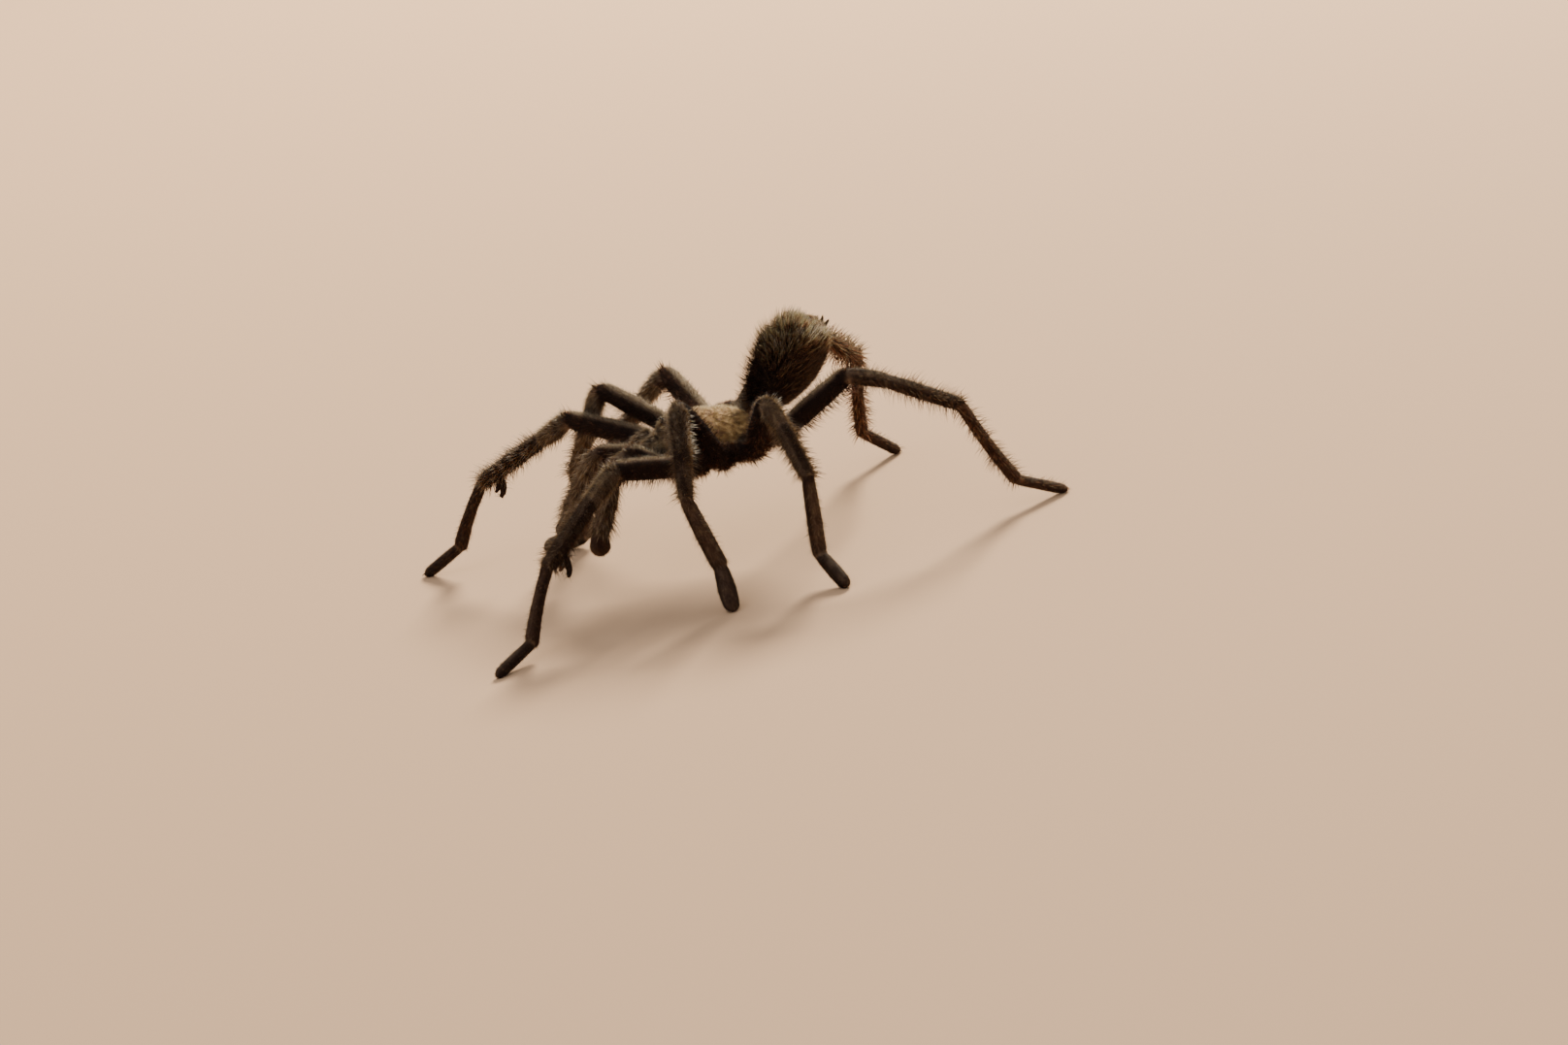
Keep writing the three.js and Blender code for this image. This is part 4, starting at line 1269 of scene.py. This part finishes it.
class CoatTree:
    """The Geometry Nodes tree that lays locks over a patch of skin."""

    def __init__(self, hair: bpy.types.Material) -> None:
        """Builds the tree.

        Args:
            hair: the coat's material.
        """
        self.tree = bpy.data.node_groups.new("coat", "GeometryNodeTree")
        face = self.tree.interface
        face.new_socket("Geometry", in_out="OUTPUT", socket_type="NodeSocketGeometry")
        face.new_socket("Skin", in_out="INPUT", socket_type="NodeSocketGeometry")
        for name, kind in (("Tuft", "NodeSocketObject"), ("Fuzz", "NodeSocketObject"),
                           ("Seta", "NodeSocketObject"), ("Tuft Density", "NodeSocketFloat"),
                           ("Fuzz Density", "NodeSocketFloat"), ("Seta Density", "NodeSocketFloat"),
                           ("Seed", "NodeSocketInt"), ("Band", "NodeSocketFloat"),
                           ("Floor", "NodeSocketFloat")):
            face.new_socket(name, in_out="INPUT", socket_type=kind)
        self.given = add_node(self.tree, "NodeGroupInput")
        layers = (
            self.layer("Tuft", "share_tuft", "tuft", "tone", None, seed=0, vary=0.06,
                       sizes=(0.75, 1.25), turns=(9, 7, 18)),
            self.layer("Fuzz", "share_fuzz", "tuft", "fuzz_tone", None, seed=30, vary=0.08,
                       sizes=(0.7, 1.25), turns=(10, 12, 24)),
            self.layer("Seta", "share", "seta", "seta_tone", "lift", seed=70, vary=0.15,
                       sizes=(0.55, 1.25), turns=(6, 10, 12)))
        joined = add_node(self.tree, "GeometryNodeJoinGeometry")
        for layer in layers:
            self.tree.links.new(layer, joined.inputs[0])
        real = add_node(self.tree, "GeometryNodeRealizeInstances", None, {0: joined.outputs[0]})
        grounded = self.above_floor(real.outputs[0])
        mapped = self.bake_map(grounded)
        dressed = add_node(self.tree, "GeometryNodeSetMaterial", None, {0: mapped, "Material": hair})
        add_node(self.tree, "NodeGroupOutput", None, {0: dressed.outputs[0]})

    def read(self, name: str, kind: str = "FLOAT") -> bpy.types.NodeSocket:
        """The socket of a named attribute."""
        return add_node(self.tree, "GeometryNodeInputNamedAttribute",
                        {"data_type": kind}, {"Name": name}).outputs[0]

    def chance(self, low: float, high: float, seed: int) -> bpy.types.NodeSocket:
        """A random number for each lock, between low and high."""
        return add_node(self.tree, "FunctionNodeRandomValue", {"data_type": "FLOAT"},
                        {2: low, 3: high, "Seed": seed}).outputs[1]

    def calc(self, operation: str, *values: Any) -> bpy.types.NodeSocket:
        """The socket of a math node's result."""
        return calculated(self.tree, operation, *values)

    def layer(self, lock: str, share: str, length: str, tone: str, lift: Optional[str], seed: int,
              vary: float, sizes: tuple[float, float],
              turns: tuple[float, float, float]) -> bpy.types.NodeSocket:
        """Scatters one kind of lock over the skin.

        Args:
            lock: the input that holds the lock; its density input has the locks to the square metre.
            share: the attribute that thins them out.
            length: the attribute with their length in millimetres.
            tone: the attribute with their tone.
            lift: the attribute with how steeply they stand, or None.
            seed: added to the tree's seed.
            vary: how much the tone differs from lock to lock.
            sizes: the least and greatest share of the length.
            turns: how far they roll, nod and turn at random, in degrees.

        Returns:
            The socket with the instances.
        """
        tree = self.tree
        amount = self.calc("MULTIPLY", self.given.outputs[f"{lock} Density"], self.read(share))
        start = self.calc("ADD", self.given.outputs["Seed"], float(seed))
        points = add_node(tree, "GeometryNodeDistributePointsOnFaces", {"distribute_method": "RANDOM"},
                          {"Mesh": self.given.outputs["Skin"], "Density": amount, "Seed": start})
        toned = self.calc("ADD", self.read(tone), self.chance(-vary, vary, seed + 1))
        kept = add_node(tree, "GeometryNodeStoreNamedAttribute", {"data_type": "FLOAT", "domain": "POINT"},
                        {0: points.outputs["Points"], "Name": "tone", "Value": toned})
        upright = add_node(tree, "FunctionNodeAlignRotationToVector", {"axis": "Z"},
                           {"Vector": points.outputs["Normal"]})
        laid = add_node(tree, "FunctionNodeAlignRotationToVector", {"axis": "X", "pivot_axis": "Z"},
                        {"Rotation": upright.outputs[0], "Vector": self.read("lie", "FLOAT_VECTOR")})
        roll, nod, turn = (self.chance(-math.radians(a), math.radians(a), seed + 2 + i)
                           for i, a in enumerate(turns))
        if lift:
            nod = self.calc("SUBTRACT", nod, self.calc("RADIANS", self.read(lift), 0.0))
        swing = add_node(tree, "ShaderNodeCombineXYZ", None, {0: roll, 1: nod, 2: turn})
        turned = add_node(tree, "FunctionNodeRotateRotation", {"rotation_space": "LOCAL"},
                          {0: laid.outputs[0], 1: swing.outputs[0]})
        size = self.calc("MULTIPLY", self.read(length), self.chance(*sizes, seed + 6))
        metres = self.calc("MULTIPLY", size, MM)
        shape = add_node(tree, "GeometryNodeObjectInfo", None,
                         {0: self.given.outputs[lock], "As Instance": True})
        scaled = add_node(tree, "ShaderNodeCombineXYZ", None, {0: metres, 1: metres, 2: metres})
        laid_out = add_node(tree, "GeometryNodeInstanceOnPoints", None,
                            {"Points": kept.outputs[0], "Instance": shape.outputs["Geometry"],
                             "Rotation": turned.outputs[0], "Scale": scaled.outputs[0]})
        return laid_out.outputs[0]

    def above_floor(self, geometry: bpy.types.NodeSocket) -> bpy.types.NodeSocket:
        """Lifts whatever would pass through the floor on to it.

        Args:
            geometry: the socket with the hairs.

        Returns:
            The socket with the lifted hairs.
        """
        here = add_node(self.tree, "GeometryNodeInputPosition")
        parts = add_node(self.tree, "ShaderNodeSeparateXYZ", None, {0: here.outputs[0]})
        height = self.calc("MAXIMUM", parts.outputs[2], self.given.outputs["Floor"])
        place = add_node(self.tree, "ShaderNodeCombineXYZ", None,
                         {0: parts.outputs[0], 1: parts.outputs[1], 2: height})
        return add_node(self.tree, "GeometryNodeSetPosition", None,
                        {0: geometry, "Position": place.outputs[0]}).outputs[0]

    def bake_map(self, geometry: bpy.types.NodeSocket) -> bpy.types.NodeSocket:
        """Stores OFBake: a patch for each lock at its root's place on the limb's or body's unrolled skin.

        Args:
            geometry: the socket with the hairs.

        Returns:
            The socket with the mapped hairs.
        """
        grain = add_node(self.tree, "ShaderNodeSeparateXYZ", None, {0: self.read("grain", "FLOAT_VECTOR")})
        round_it = self.calc("ARCTAN2", grain.outputs[2], grain.outputs[1])
        along = self.calc("MULTIPLY_ADD", grain.outputs[0], MAP_PER_MM, MAP_START)
        around = self.calc("MULTIPLY_ADD", round_it, MAP_ROUND / (2 * math.pi), self.given.outputs["Band"])
        strand = add_node(self.tree, "ShaderNodeSeparateXYZ", None, {0: self.read("strand", "FLOAT_VECTOR")})
        u = self.calc("MULTIPLY_ADD", strand.outputs[0], MAP_PATCH, along)
        v = self.calc("MULTIPLY_ADD", strand.outputs[1], MAP_PATCH, around)
        place = add_node(self.tree, "ShaderNodeCombineXYZ", None, {0: u, 1: v})
        stored = add_node(self.tree, "GeometryNodeStoreNamedAttribute",
                          {"data_type": "FLOAT2", "domain": "CORNER"},
                          {0: geometry, "Name": "OFBake", "Value": place.outputs[0]})
        return stored.outputs[0]


@dataclass
class Coat:
    """The coat of one limb or part of the body.

    Attributes:
        name: the piece's name.
        nodes: the words that its CAD nodes' names start with.
        slot: a material slot; not used.
        tufts: how many locks of the close coat it has.
        fuzz: how many locks of short raised hair.
        setae: how many long hairs.
        seed: the seed of its scatter.
    """

    name: str
    nodes: tuple[str, ...]
    slot: Slot
    tufts: int
    fuzz: int
    setae: int
    seed: int

    def build(self, skin: bpy.types.Object, fields: dict[str, np.ndarray], coat_tree: CoatTree,
              locks: dict[str, bpy.types.Object]) -> bpy.types.Object:
        """Grows the coat on its patch of the skin.

        Args:
            skin: the skin.
            fields: the skin's fields.
            coat_tree: the tree that lays the locks.
            locks: the tuft, the fuzz and the seta.

        Returns:
            The coat.
        """
        owner = fields["owner"]
        mine = np.zeros(len(owner), bool)
        for name in np.unique(owner):
            if name.startswith(self.nodes):
                mine |= owner == name
        faces = np.array([f.vertices[:] for f in skin.data.polygons if len(f.vertices) == 4])
        faces = faces[mine[faces].sum(1) >= 2]
        used, faces = np.unique(faces, return_inverse=True)
        faces = faces.reshape(-1, 4)
        points = fields["points"][used]
        patch = new_object(self.name + "_patch", points, faces)
        kept = ("tuft", "seta", "tone", "fuzz_tone", "seta_tone", "lift", "share_tuft", "share_fuzz", "share")
        for key in (*kept, "rust", "gilt"):
            patch.data.attributes.new(key, "FLOAT", "POINT").data.foreach_set("value", fields[key][used])
        for key in ("lie", "grain"):
            patch.data.attributes.new(key, "FLOAT_VECTOR", "POINT").data.foreach_set(
                "vector", fields[key][used].ravel())
        corners = points[faces]
        diagonals = corners[:, 2] - corners[:, 0], corners[:, 3] - corners[:, 1]
        area = np.linalg.norm(np.cross(*diagonals), axis=1) / 2
        grower = patch.modifiers.new("coat", "NODES")
        grower.node_group = coat_tree.tree
        axis = int(np.bincount(fields["axis"][mine]).argmax())
        values = {"Seed": self.seed, "Band": (axis + 0.5) / MAP_BANDS, "Floor": FLOOR_GAP * MM}
        for lock, share, count in (("Tuft", "share_tuft", self.tufts), ("Fuzz", "share_fuzz", self.fuzz),
                                   ("Seta", "share", self.setae)):
            values[lock] = locks[lock]
            room = (area * fields[share][used][faces].mean(1)).sum() * MM * MM
            values[f"{lock} Density"] = count / room
        for socket in coat_tree.tree.interface.items_tree:
            if socket.item_type == "SOCKET" and socket.in_out == "INPUT" and socket.name in values:
                grower[socket.identifier] = values[socket.name]
        coat = baked(patch, self.name)
        for key in (*kept, "lie", "grain"):
            if key != "tone" and key in coat.data.attributes:
                coat.data.attributes.remove(coat.data.attributes[key])
        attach(coat, BODY)
        return coat


# ------------------------------------------------------------------------------ eyes, fangs, claws, spines


def horn_mesh(route: np.ndarray, radii: np.ndarray, sides: int = 8) -> tuple[np.ndarray, list[list[int]]]:
    """A closed, tapering, bent horn.

    Args:
        route: the points of its middle, in millimetres.
        radii: its radius at each.
        sides: how many sides it has.

    Returns:
        Its points and faces.
    """
    ways = unit(np.gradient(route, axis=0))
    first = unit(np.cross(ways[0], [0.31, 0.17, 0.94]))
    points, faces = [], []
    for place, way, radius in zip(route, ways, radii):
        first = unit(first - (first @ way) * way)
        second = np.cross(way, first)
        for side in range(sides):
            angle = 2 * math.pi * side / sides
            points.append(place + radius * (math.cos(angle) * first + math.sin(angle) * second))
    for ring in range(len(route) - 1):
        for side in range(sides):
            a, b = ring * sides + side, ring * sides + (side + 1) % sides
            faces.append([a, b, b + sides, a + sides])
    faces.append(list(range(sides))[::-1])
    faces.append([(len(route) - 1) * sides + side for side in range(sides)])
    return np.array(points), faces


def curve_through(start: np.ndarray, bend: np.ndarray, end: np.ndarray, steps: int) -> np.ndarray:
    """Points along a quadratic curve."""
    t = np.linspace(0, 1, steps + 1)[:, None]
    return (1 - t) ** 2 * start + 2 * t * (1 - t) * bend + t * t * end


def join_horns(name: str, horns: list[tuple[np.ndarray, list[list[int]]]]) -> bpy.types.Object:
    """Makes several horns one object.

    Args:
        name: the object's name.
        horns: each horn's points and faces.

    Returns:
        The object.
    """
    points, faces, count = [], [], 0
    for some, their in horns:
        points.append(some)
        faces += [[i + count for i in face] for face in their]
        count += len(some)
    return new_object(name, np.concatenate(points), faces)


@dataclass
class Eyes:
    """The eight eyes on their mound.

    Attributes:
        places: across, back and radius of one side's four eyes, in millimetres.
        mound: half the mound's width, length and height.
    """

    anatomy: Anatomy
    places: tuple[tuple[float, float, float], ...] = (
        (0.4, -0.08, 0.21), (0.78, -0.48, 0.18), (0.88, 0.22, 0.17), (0.6, 0.42, 0.13))
    mound: tuple[float, float, float] = (1.2, 0.95, 0.95)

    def build(self, lens: bpy.types.Material) -> bpy.types.Object:
        """Makes the eyes, which stand for the eye mound's node.

        Args:
            lens: the eyes' material.

        Returns:
            The eyes as one object.
        """
        low, high = (np.array(c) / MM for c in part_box("eye_mound"))
        crown = (low + high) / 2
        foot = crown + tilt_body([0, 0, 1]) * ((high[2] - low[2]) / 2 - self.mound[2] - 0.2)
        points, faces, count = [], [], 0
        rows, sides = 10, 16
        for across, back, radius in self.places:
            rise = self.mound[2] * math.sqrt(max(
                0.1, 1 - (across / self.mound[0]) ** 2 - (back / self.mound[1]) ** 2))
            for side in Side:
                middle = foot + tilt_body([side.value * across, back, rise * 0.9])
                ball = [[math.sin(math.pi * r / rows) * math.cos(2 * math.pi * s / sides),
                         math.sin(math.pi * r / rows) * math.sin(2 * math.pi * s / sides),
                         math.cos(math.pi * r / rows)] for r in range(1, rows) for s in range(sides)]
                ball = np.array(ball + [[0, 0, 1], [0, 0, -1]])
                points.append(middle + radius * ball)
                top, bottom = len(ball) - 2, len(ball) - 1
                last = count + (rows - 2) * sides
                for s in range(sides):
                    n = (s + 1) % sides
                    faces.append([count + top, count + s, count + n])
                    faces.append([count + bottom, last + n, last + s])
                    for r in range(rows - 2):
                        faces.append([count + r * sides + s, count + (r + 1) * sides + s,
                                      count + (r + 1) * sides + n, count + r * sides + n])
                count += len(ball)
        made = new_object("eyes", np.concatenate(points), faces)
        made.data.materials.append(lens)
        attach(made, BODY)
        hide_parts("eye_mound")
        return made


@dataclass
class Fangs:
    """The two fangs, folded back under the chelicerae."""

    anatomy: Anatomy

    def build(self, horn: bpy.types.Material) -> bpy.types.Object:
        """Makes both fangs from the middles of their nodes.

        Args:
            horn: the fangs' material.

        Returns:
            The fangs as one object.
        """
        horns = []
        for side in Side:
            shell = self.anatomy.shells[f"fang_{side.word}"]
            jaw = self.anatomy.shells[f"chelicera_{side.word}"].points.mean(0)
            root = shell.points[np.argsort(-shell.points[:, 2])[:8]].mean(0)
            tip = shell.points[np.argmax(np.linalg.norm(shell.points - jaw, axis=1))]
            low = shell.points[np.argmin(shell.points[:, 2])]
            bend = 2 * low - (root + tip) / 2
            route = curve_through(root + 0.3 * unit(jaw - root), bend, tip, 12)
            radii = 0.58 * (1 - np.linspace(0, 1, 13) ** 1.4) + 0.04
            horns.append(horn_mesh(route, radii, 14))
        made = join_horns("fangs", horns)
        made.data.materials.append(horn)
        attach(made, BODY)
        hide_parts("fang_left", "fang_right")
        return made


@dataclass
class Armature:
    """The claws at the feet and the stout spines of the legs.

    Attributes:
        claw: a claw's length and root radius in millimetres.
        spine: a spine's length and root radius.
    """

    anatomy: Anatomy
    claw: tuple[float, float] = (0.75, 0.1)
    spine: tuple[float, float] = (1.3, 0.09)

    def claws(self) -> list[tuple[np.ndarray, list[list[int]]]]:
        """Two small hooks at the tip of every leg.

        Returns:
            Each hook's points and faces.
        """
        horns = []
        for axis in self.anatomy.axes:
            if not axis.name.startswith("leg"):
                continue
            tip, way, up = axis.points[-1], axis.ways[-1], axis.up[-1]
            side = np.cross(up, way)
            for across in (-1, 1):
                root = tip + up * 0.25 + side * across * 0.22 - way * 0.3
                bend = root + way * self.claw[0] * 0.9 + up * 0.18
                end = root + way * self.claw[0] - up * 0.4 + side * across * 0.05
                for point in (root, bend, end):
                    point[2] = max(point[2], 0.12)
                radii = self.claw[1] * np.linspace(1, 0.12, 7)
                horns.append(horn_mesh(curve_through(root, bend, end, 6), radii, 6))
        return horns

    def spines(self) -> list[tuple[np.ndarray, list[list[int]]]]:
        """Stout spines near the ends of the tibiae and along the metatarsi.

        Returns:
            Each spine's points and faces.
        """
        rng = np.random.default_rng(7)
        horns = []
        for axis in self.anatomy.axes:
            if not axis.name.startswith("leg"):
                continue
            pair = axis.name[-1]
            shin, heel = axis.joints["metatarsus"], axis.joints["tarsus"]
            places = [(shin - 1.1, 150), (shin - 1.3, -140)]
            if pair in "34":
                places += [(shin + 0.45 * (heel - shin), 140), (shin + 0.6 * (heel - shin), -120),
                           (shin - 5.0, -100), (shin - 1.2, 20), (axis.joints["patella_end"] + 0.9, 8)]
            for along, degrees in places:
                i = int(np.abs(axis.along - along).argmin())
                up, way = axis.up[i], axis.ways[i]
                side = np.cross(up, way)
                turn = math.radians(degrees + rng.uniform(-8, 8))
                out = math.cos(turn) * up + math.sin(turn) * side
                root = axis.points[i] + out * axis.radii[i] * 0.55
                length = self.spine[0] * rng.uniform(0.8, 1.2)
                end = axis.points[i] + out * axis.radii[i] + unit(out * 0.8 + way * 0.6) * length
                radii = self.spine[1] * np.linspace(1, 0.1, 5)
                horns.append(horn_mesh(curve_through(root, (root + end) / 2, end, 4), radii, 6))
        return horns

    def build(self, horn: bpy.types.Material) -> list[bpy.types.Object]:
        """Makes the claws and the spines as two pieces.

        Args:
            horn: their material.

        Returns:
            The two pieces.
        """
        made = []
        for name, horns in (("claws", self.claws()), ("spines", self.spines())):
            piece = join_horns(name, horns)
            piece.data.materials.append(horn)
            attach(piece, BODY)
            made.append(piece)
        return made


# ------------------------------------------------------------------------------ studio


@dataclass(frozen=True)
class Lamp:
    """A soft square lamp that points at the animal.

    Attributes:
        name: its name.
        azimuth: where it hangs, as for the camera.
        elevation: how high.
        distance: how far off, in metres.
        size: its side in metres.
        power: in watts.
        colour: in hex.
    """

    name: str
    azimuth: float
    elevation: float
    distance: float
    size: float
    power: float
    colour: str


@dataclass
class Studio:
    """The floor, the lights and the camera.

    Attributes:
        azimuth: where the camera stands round the animal, in degrees.
        elevation: how high it looks down from.
        roll: how far it leans.
        distance: from the aim to the camera, in metres.
        aim: what it looks at, in metres.
        lens: its focal length for a sensor 36 mm wide.
        shift: how far the view is moved, as shares of its width.
        rim: how far the floor goes from the middle, in millimetres.
        sky: the colour and strength of the light from all round.
        lamps: the lamps.
    """

    azimuth: float = 69.0
    elevation: float = 16.0
    roll: float = -12.0
    distance: float = 0.936
    aim: tuple[float, float, float] = (0.002958, 0.002606, 0.010)
    lens: float = 115.7
    shift: tuple[float, float] = (0.0347, -0.0139)
    rim: float = 9000.0
    sky: tuple[str, float] = ("#e6e1dc", 0.57)
    lamps: tuple[Lamp, ...] = (
        Lamp("key", azimuth=226.0, elevation=34.0, distance=1.6, size=0.45, power=46.0, colour="#fff1dc"),
        Lamp("fill", azimuth=40.0, elevation=50.0, distance=1.6, size=1.2, power=4.0, colour="#f2f4ff"))

    def back(self, azimuth: float, elevation: float) -> Vector:
        """The direction from the animal to a place seen at these angles."""
        a, e = math.radians(azimuth), math.radians(elevation)
        return Vector((math.sin(a) * math.cos(e), -math.cos(a) * math.cos(e), math.sin(e)))

    def camera(self) -> None:
        """Puts up the camera."""
        back = self.back(self.azimuth, self.elevation)
        a, lean = math.radians(self.azimuth), math.radians(self.roll)
        level = Vector((math.cos(a), math.sin(a), 0))
        up = back.cross(level)
        right = level * math.cos(lean) + up * math.sin(lean)
        top = up * math.cos(lean) - level * math.sin(lean)
        data = bpy.data.cameras.new("camera")
        data.sensor_width = 36.0
        data.lens = self.lens
        data.shift_x, data.shift_y = self.shift
        data.clip_start, data.clip_end = 0.01, 100
        made = bpy.data.objects.new("camera", data)
        turn = Matrix((right, top, back)).transposed()
        made.matrix_world = Matrix.Translation(Vector(self.aim) + back * self.distance) @ turn.to_4x4()
        bpy.context.scene.collection.objects.link(made)
        bpy.context.scene.camera = made

    def hang(self, lamp: Lamp) -> None:
        """Hangs a lamp.

        Args:
            lamp: the lamp.
        """
        data = bpy.data.lights.new(lamp.name, "AREA")
        data.shape = "SQUARE"
        data.size = lamp.size
        data.energy = lamp.power
        data.color = linear(lamp.colour)[:3]
        made = bpy.data.objects.new(lamp.name, data)
        place = self.back(lamp.azimuth, lamp.elevation) * lamp.distance
        made.location = place
        made.rotation_euler = place.to_track_quat("Z", "Y").to_euler()
        bpy.context.scene.collection.objects.link(made)

    def build(self, stone: bpy.types.Material) -> None:
        """Lays the floor, hangs the lamps and puts up the camera.

        Args:
            stone: the floor's material.
        """
        corners = self.rim * np.array([[-1, -1, 0], [1, -1, 0], [1, 1, 0], [-1, 1, 0]])
        floor = new_object("floor", corners, [[0, 1, 2, 3]], smooth=False)
        floor.data.materials.append(stone)
        world = bpy.data.worlds.new("studio")
        world.use_nodes = True
        sky = world.node_tree.nodes["Background"]
        sky.inputs["Color"].default_value = linear(self.sky[0])
        sky.inputs["Strength"].default_value = self.sky[1]
        bpy.context.scene.world = world
        for lamp in self.lamps:
            self.hang(lamp)
        self.camera()


# ------------------------------------------------------------------------------ the animal


def coats() -> list[Coat]:
    """The coat's pieces, one for each limb and part of the body.

    Returns:
        The pieces' descriptions.
    """
    made = []
    for side in Side:
        for pair in (1, 2, 3, 4):
            name, hind = f"leg_{side.word}_{pair}", pair == 4
            made.append(Coat(f"coat_{name}", (name,), Slot.HIND_LEG if hind else Slot.LEG, tufts=3700,
                             fuzz=3800, setae=3000 if hind else 2700, seed=10 * pair + side.value))
        name = f"palp_{side.word}"
        made.append(Coat(f"coat_{name}", (name,), Slot.LEG, tufts=2300, fuzz=2100, setae=1900,
                         seed=60 + side.value))
    made.append(Coat("coat_carapace", ("carapace", "eye_mound", "pedicel"), Slot.GOLD,
                     tufts=5600, fuzz=1800, setae=900, seed=71))
    made.append(Coat("coat_chelicerae", ("chelicera",), Slot.CHELICERA,
                     tufts=2400, fuzz=900, setae=1000, seed=72))
    made.append(Coat("coat_abdomen", ("abdomen", "spinneret"), Slot.DARK,
                     tufts=5400, fuzz=1400, setae=6200, seed=73))
    made.append(Coat("coat_sternum", ("sternum",), Slot.DARK, tufts=1900, fuzz=700, setae=700, seed=74))
    return made


def report(piece: bpy.types.Object) -> None:
    """Logs a piece's name and size."""
    triangles = sum(len(f.vertices) - 2 for f in piece.data.polygons)
    LOG.info("%s: %d triangles", piece.name, triangles)


def main() -> None:
    """Builds the tarantula and its studio."""
    logging.basicConfig(level=logging.INFO, format="%(name)s: %(message)s", stream=sys.stdout)
    anatomy = Anatomy()
    horn, lens = Horn().material(), EyeLens().material()
    skin, fields = Skin(anatomy).build()
    skin.data.materials.clear()
    skin.data.materials.append(Cuticle().material())
    report(skin)
    locks = {"Tuft": TUFT.build(), "Fuzz": FUZZ.build(), "Seta": SETA.build()}
    coat_tree = CoatTree(CoatHair().material())
    for coat in coats():
        report(coat.build(skin, fields, coat_tree, locks))
    for lock in locks.values():
        bpy.data.objects.remove(lock)
    for piece in (Eyes(anatomy).build(lens), Fangs(anatomy).build(horn), *Armature(anatomy).build(horn)):
        report(piece)
    Studio().build(Sandstone().material())


if __name__ == "__main__":
    main()
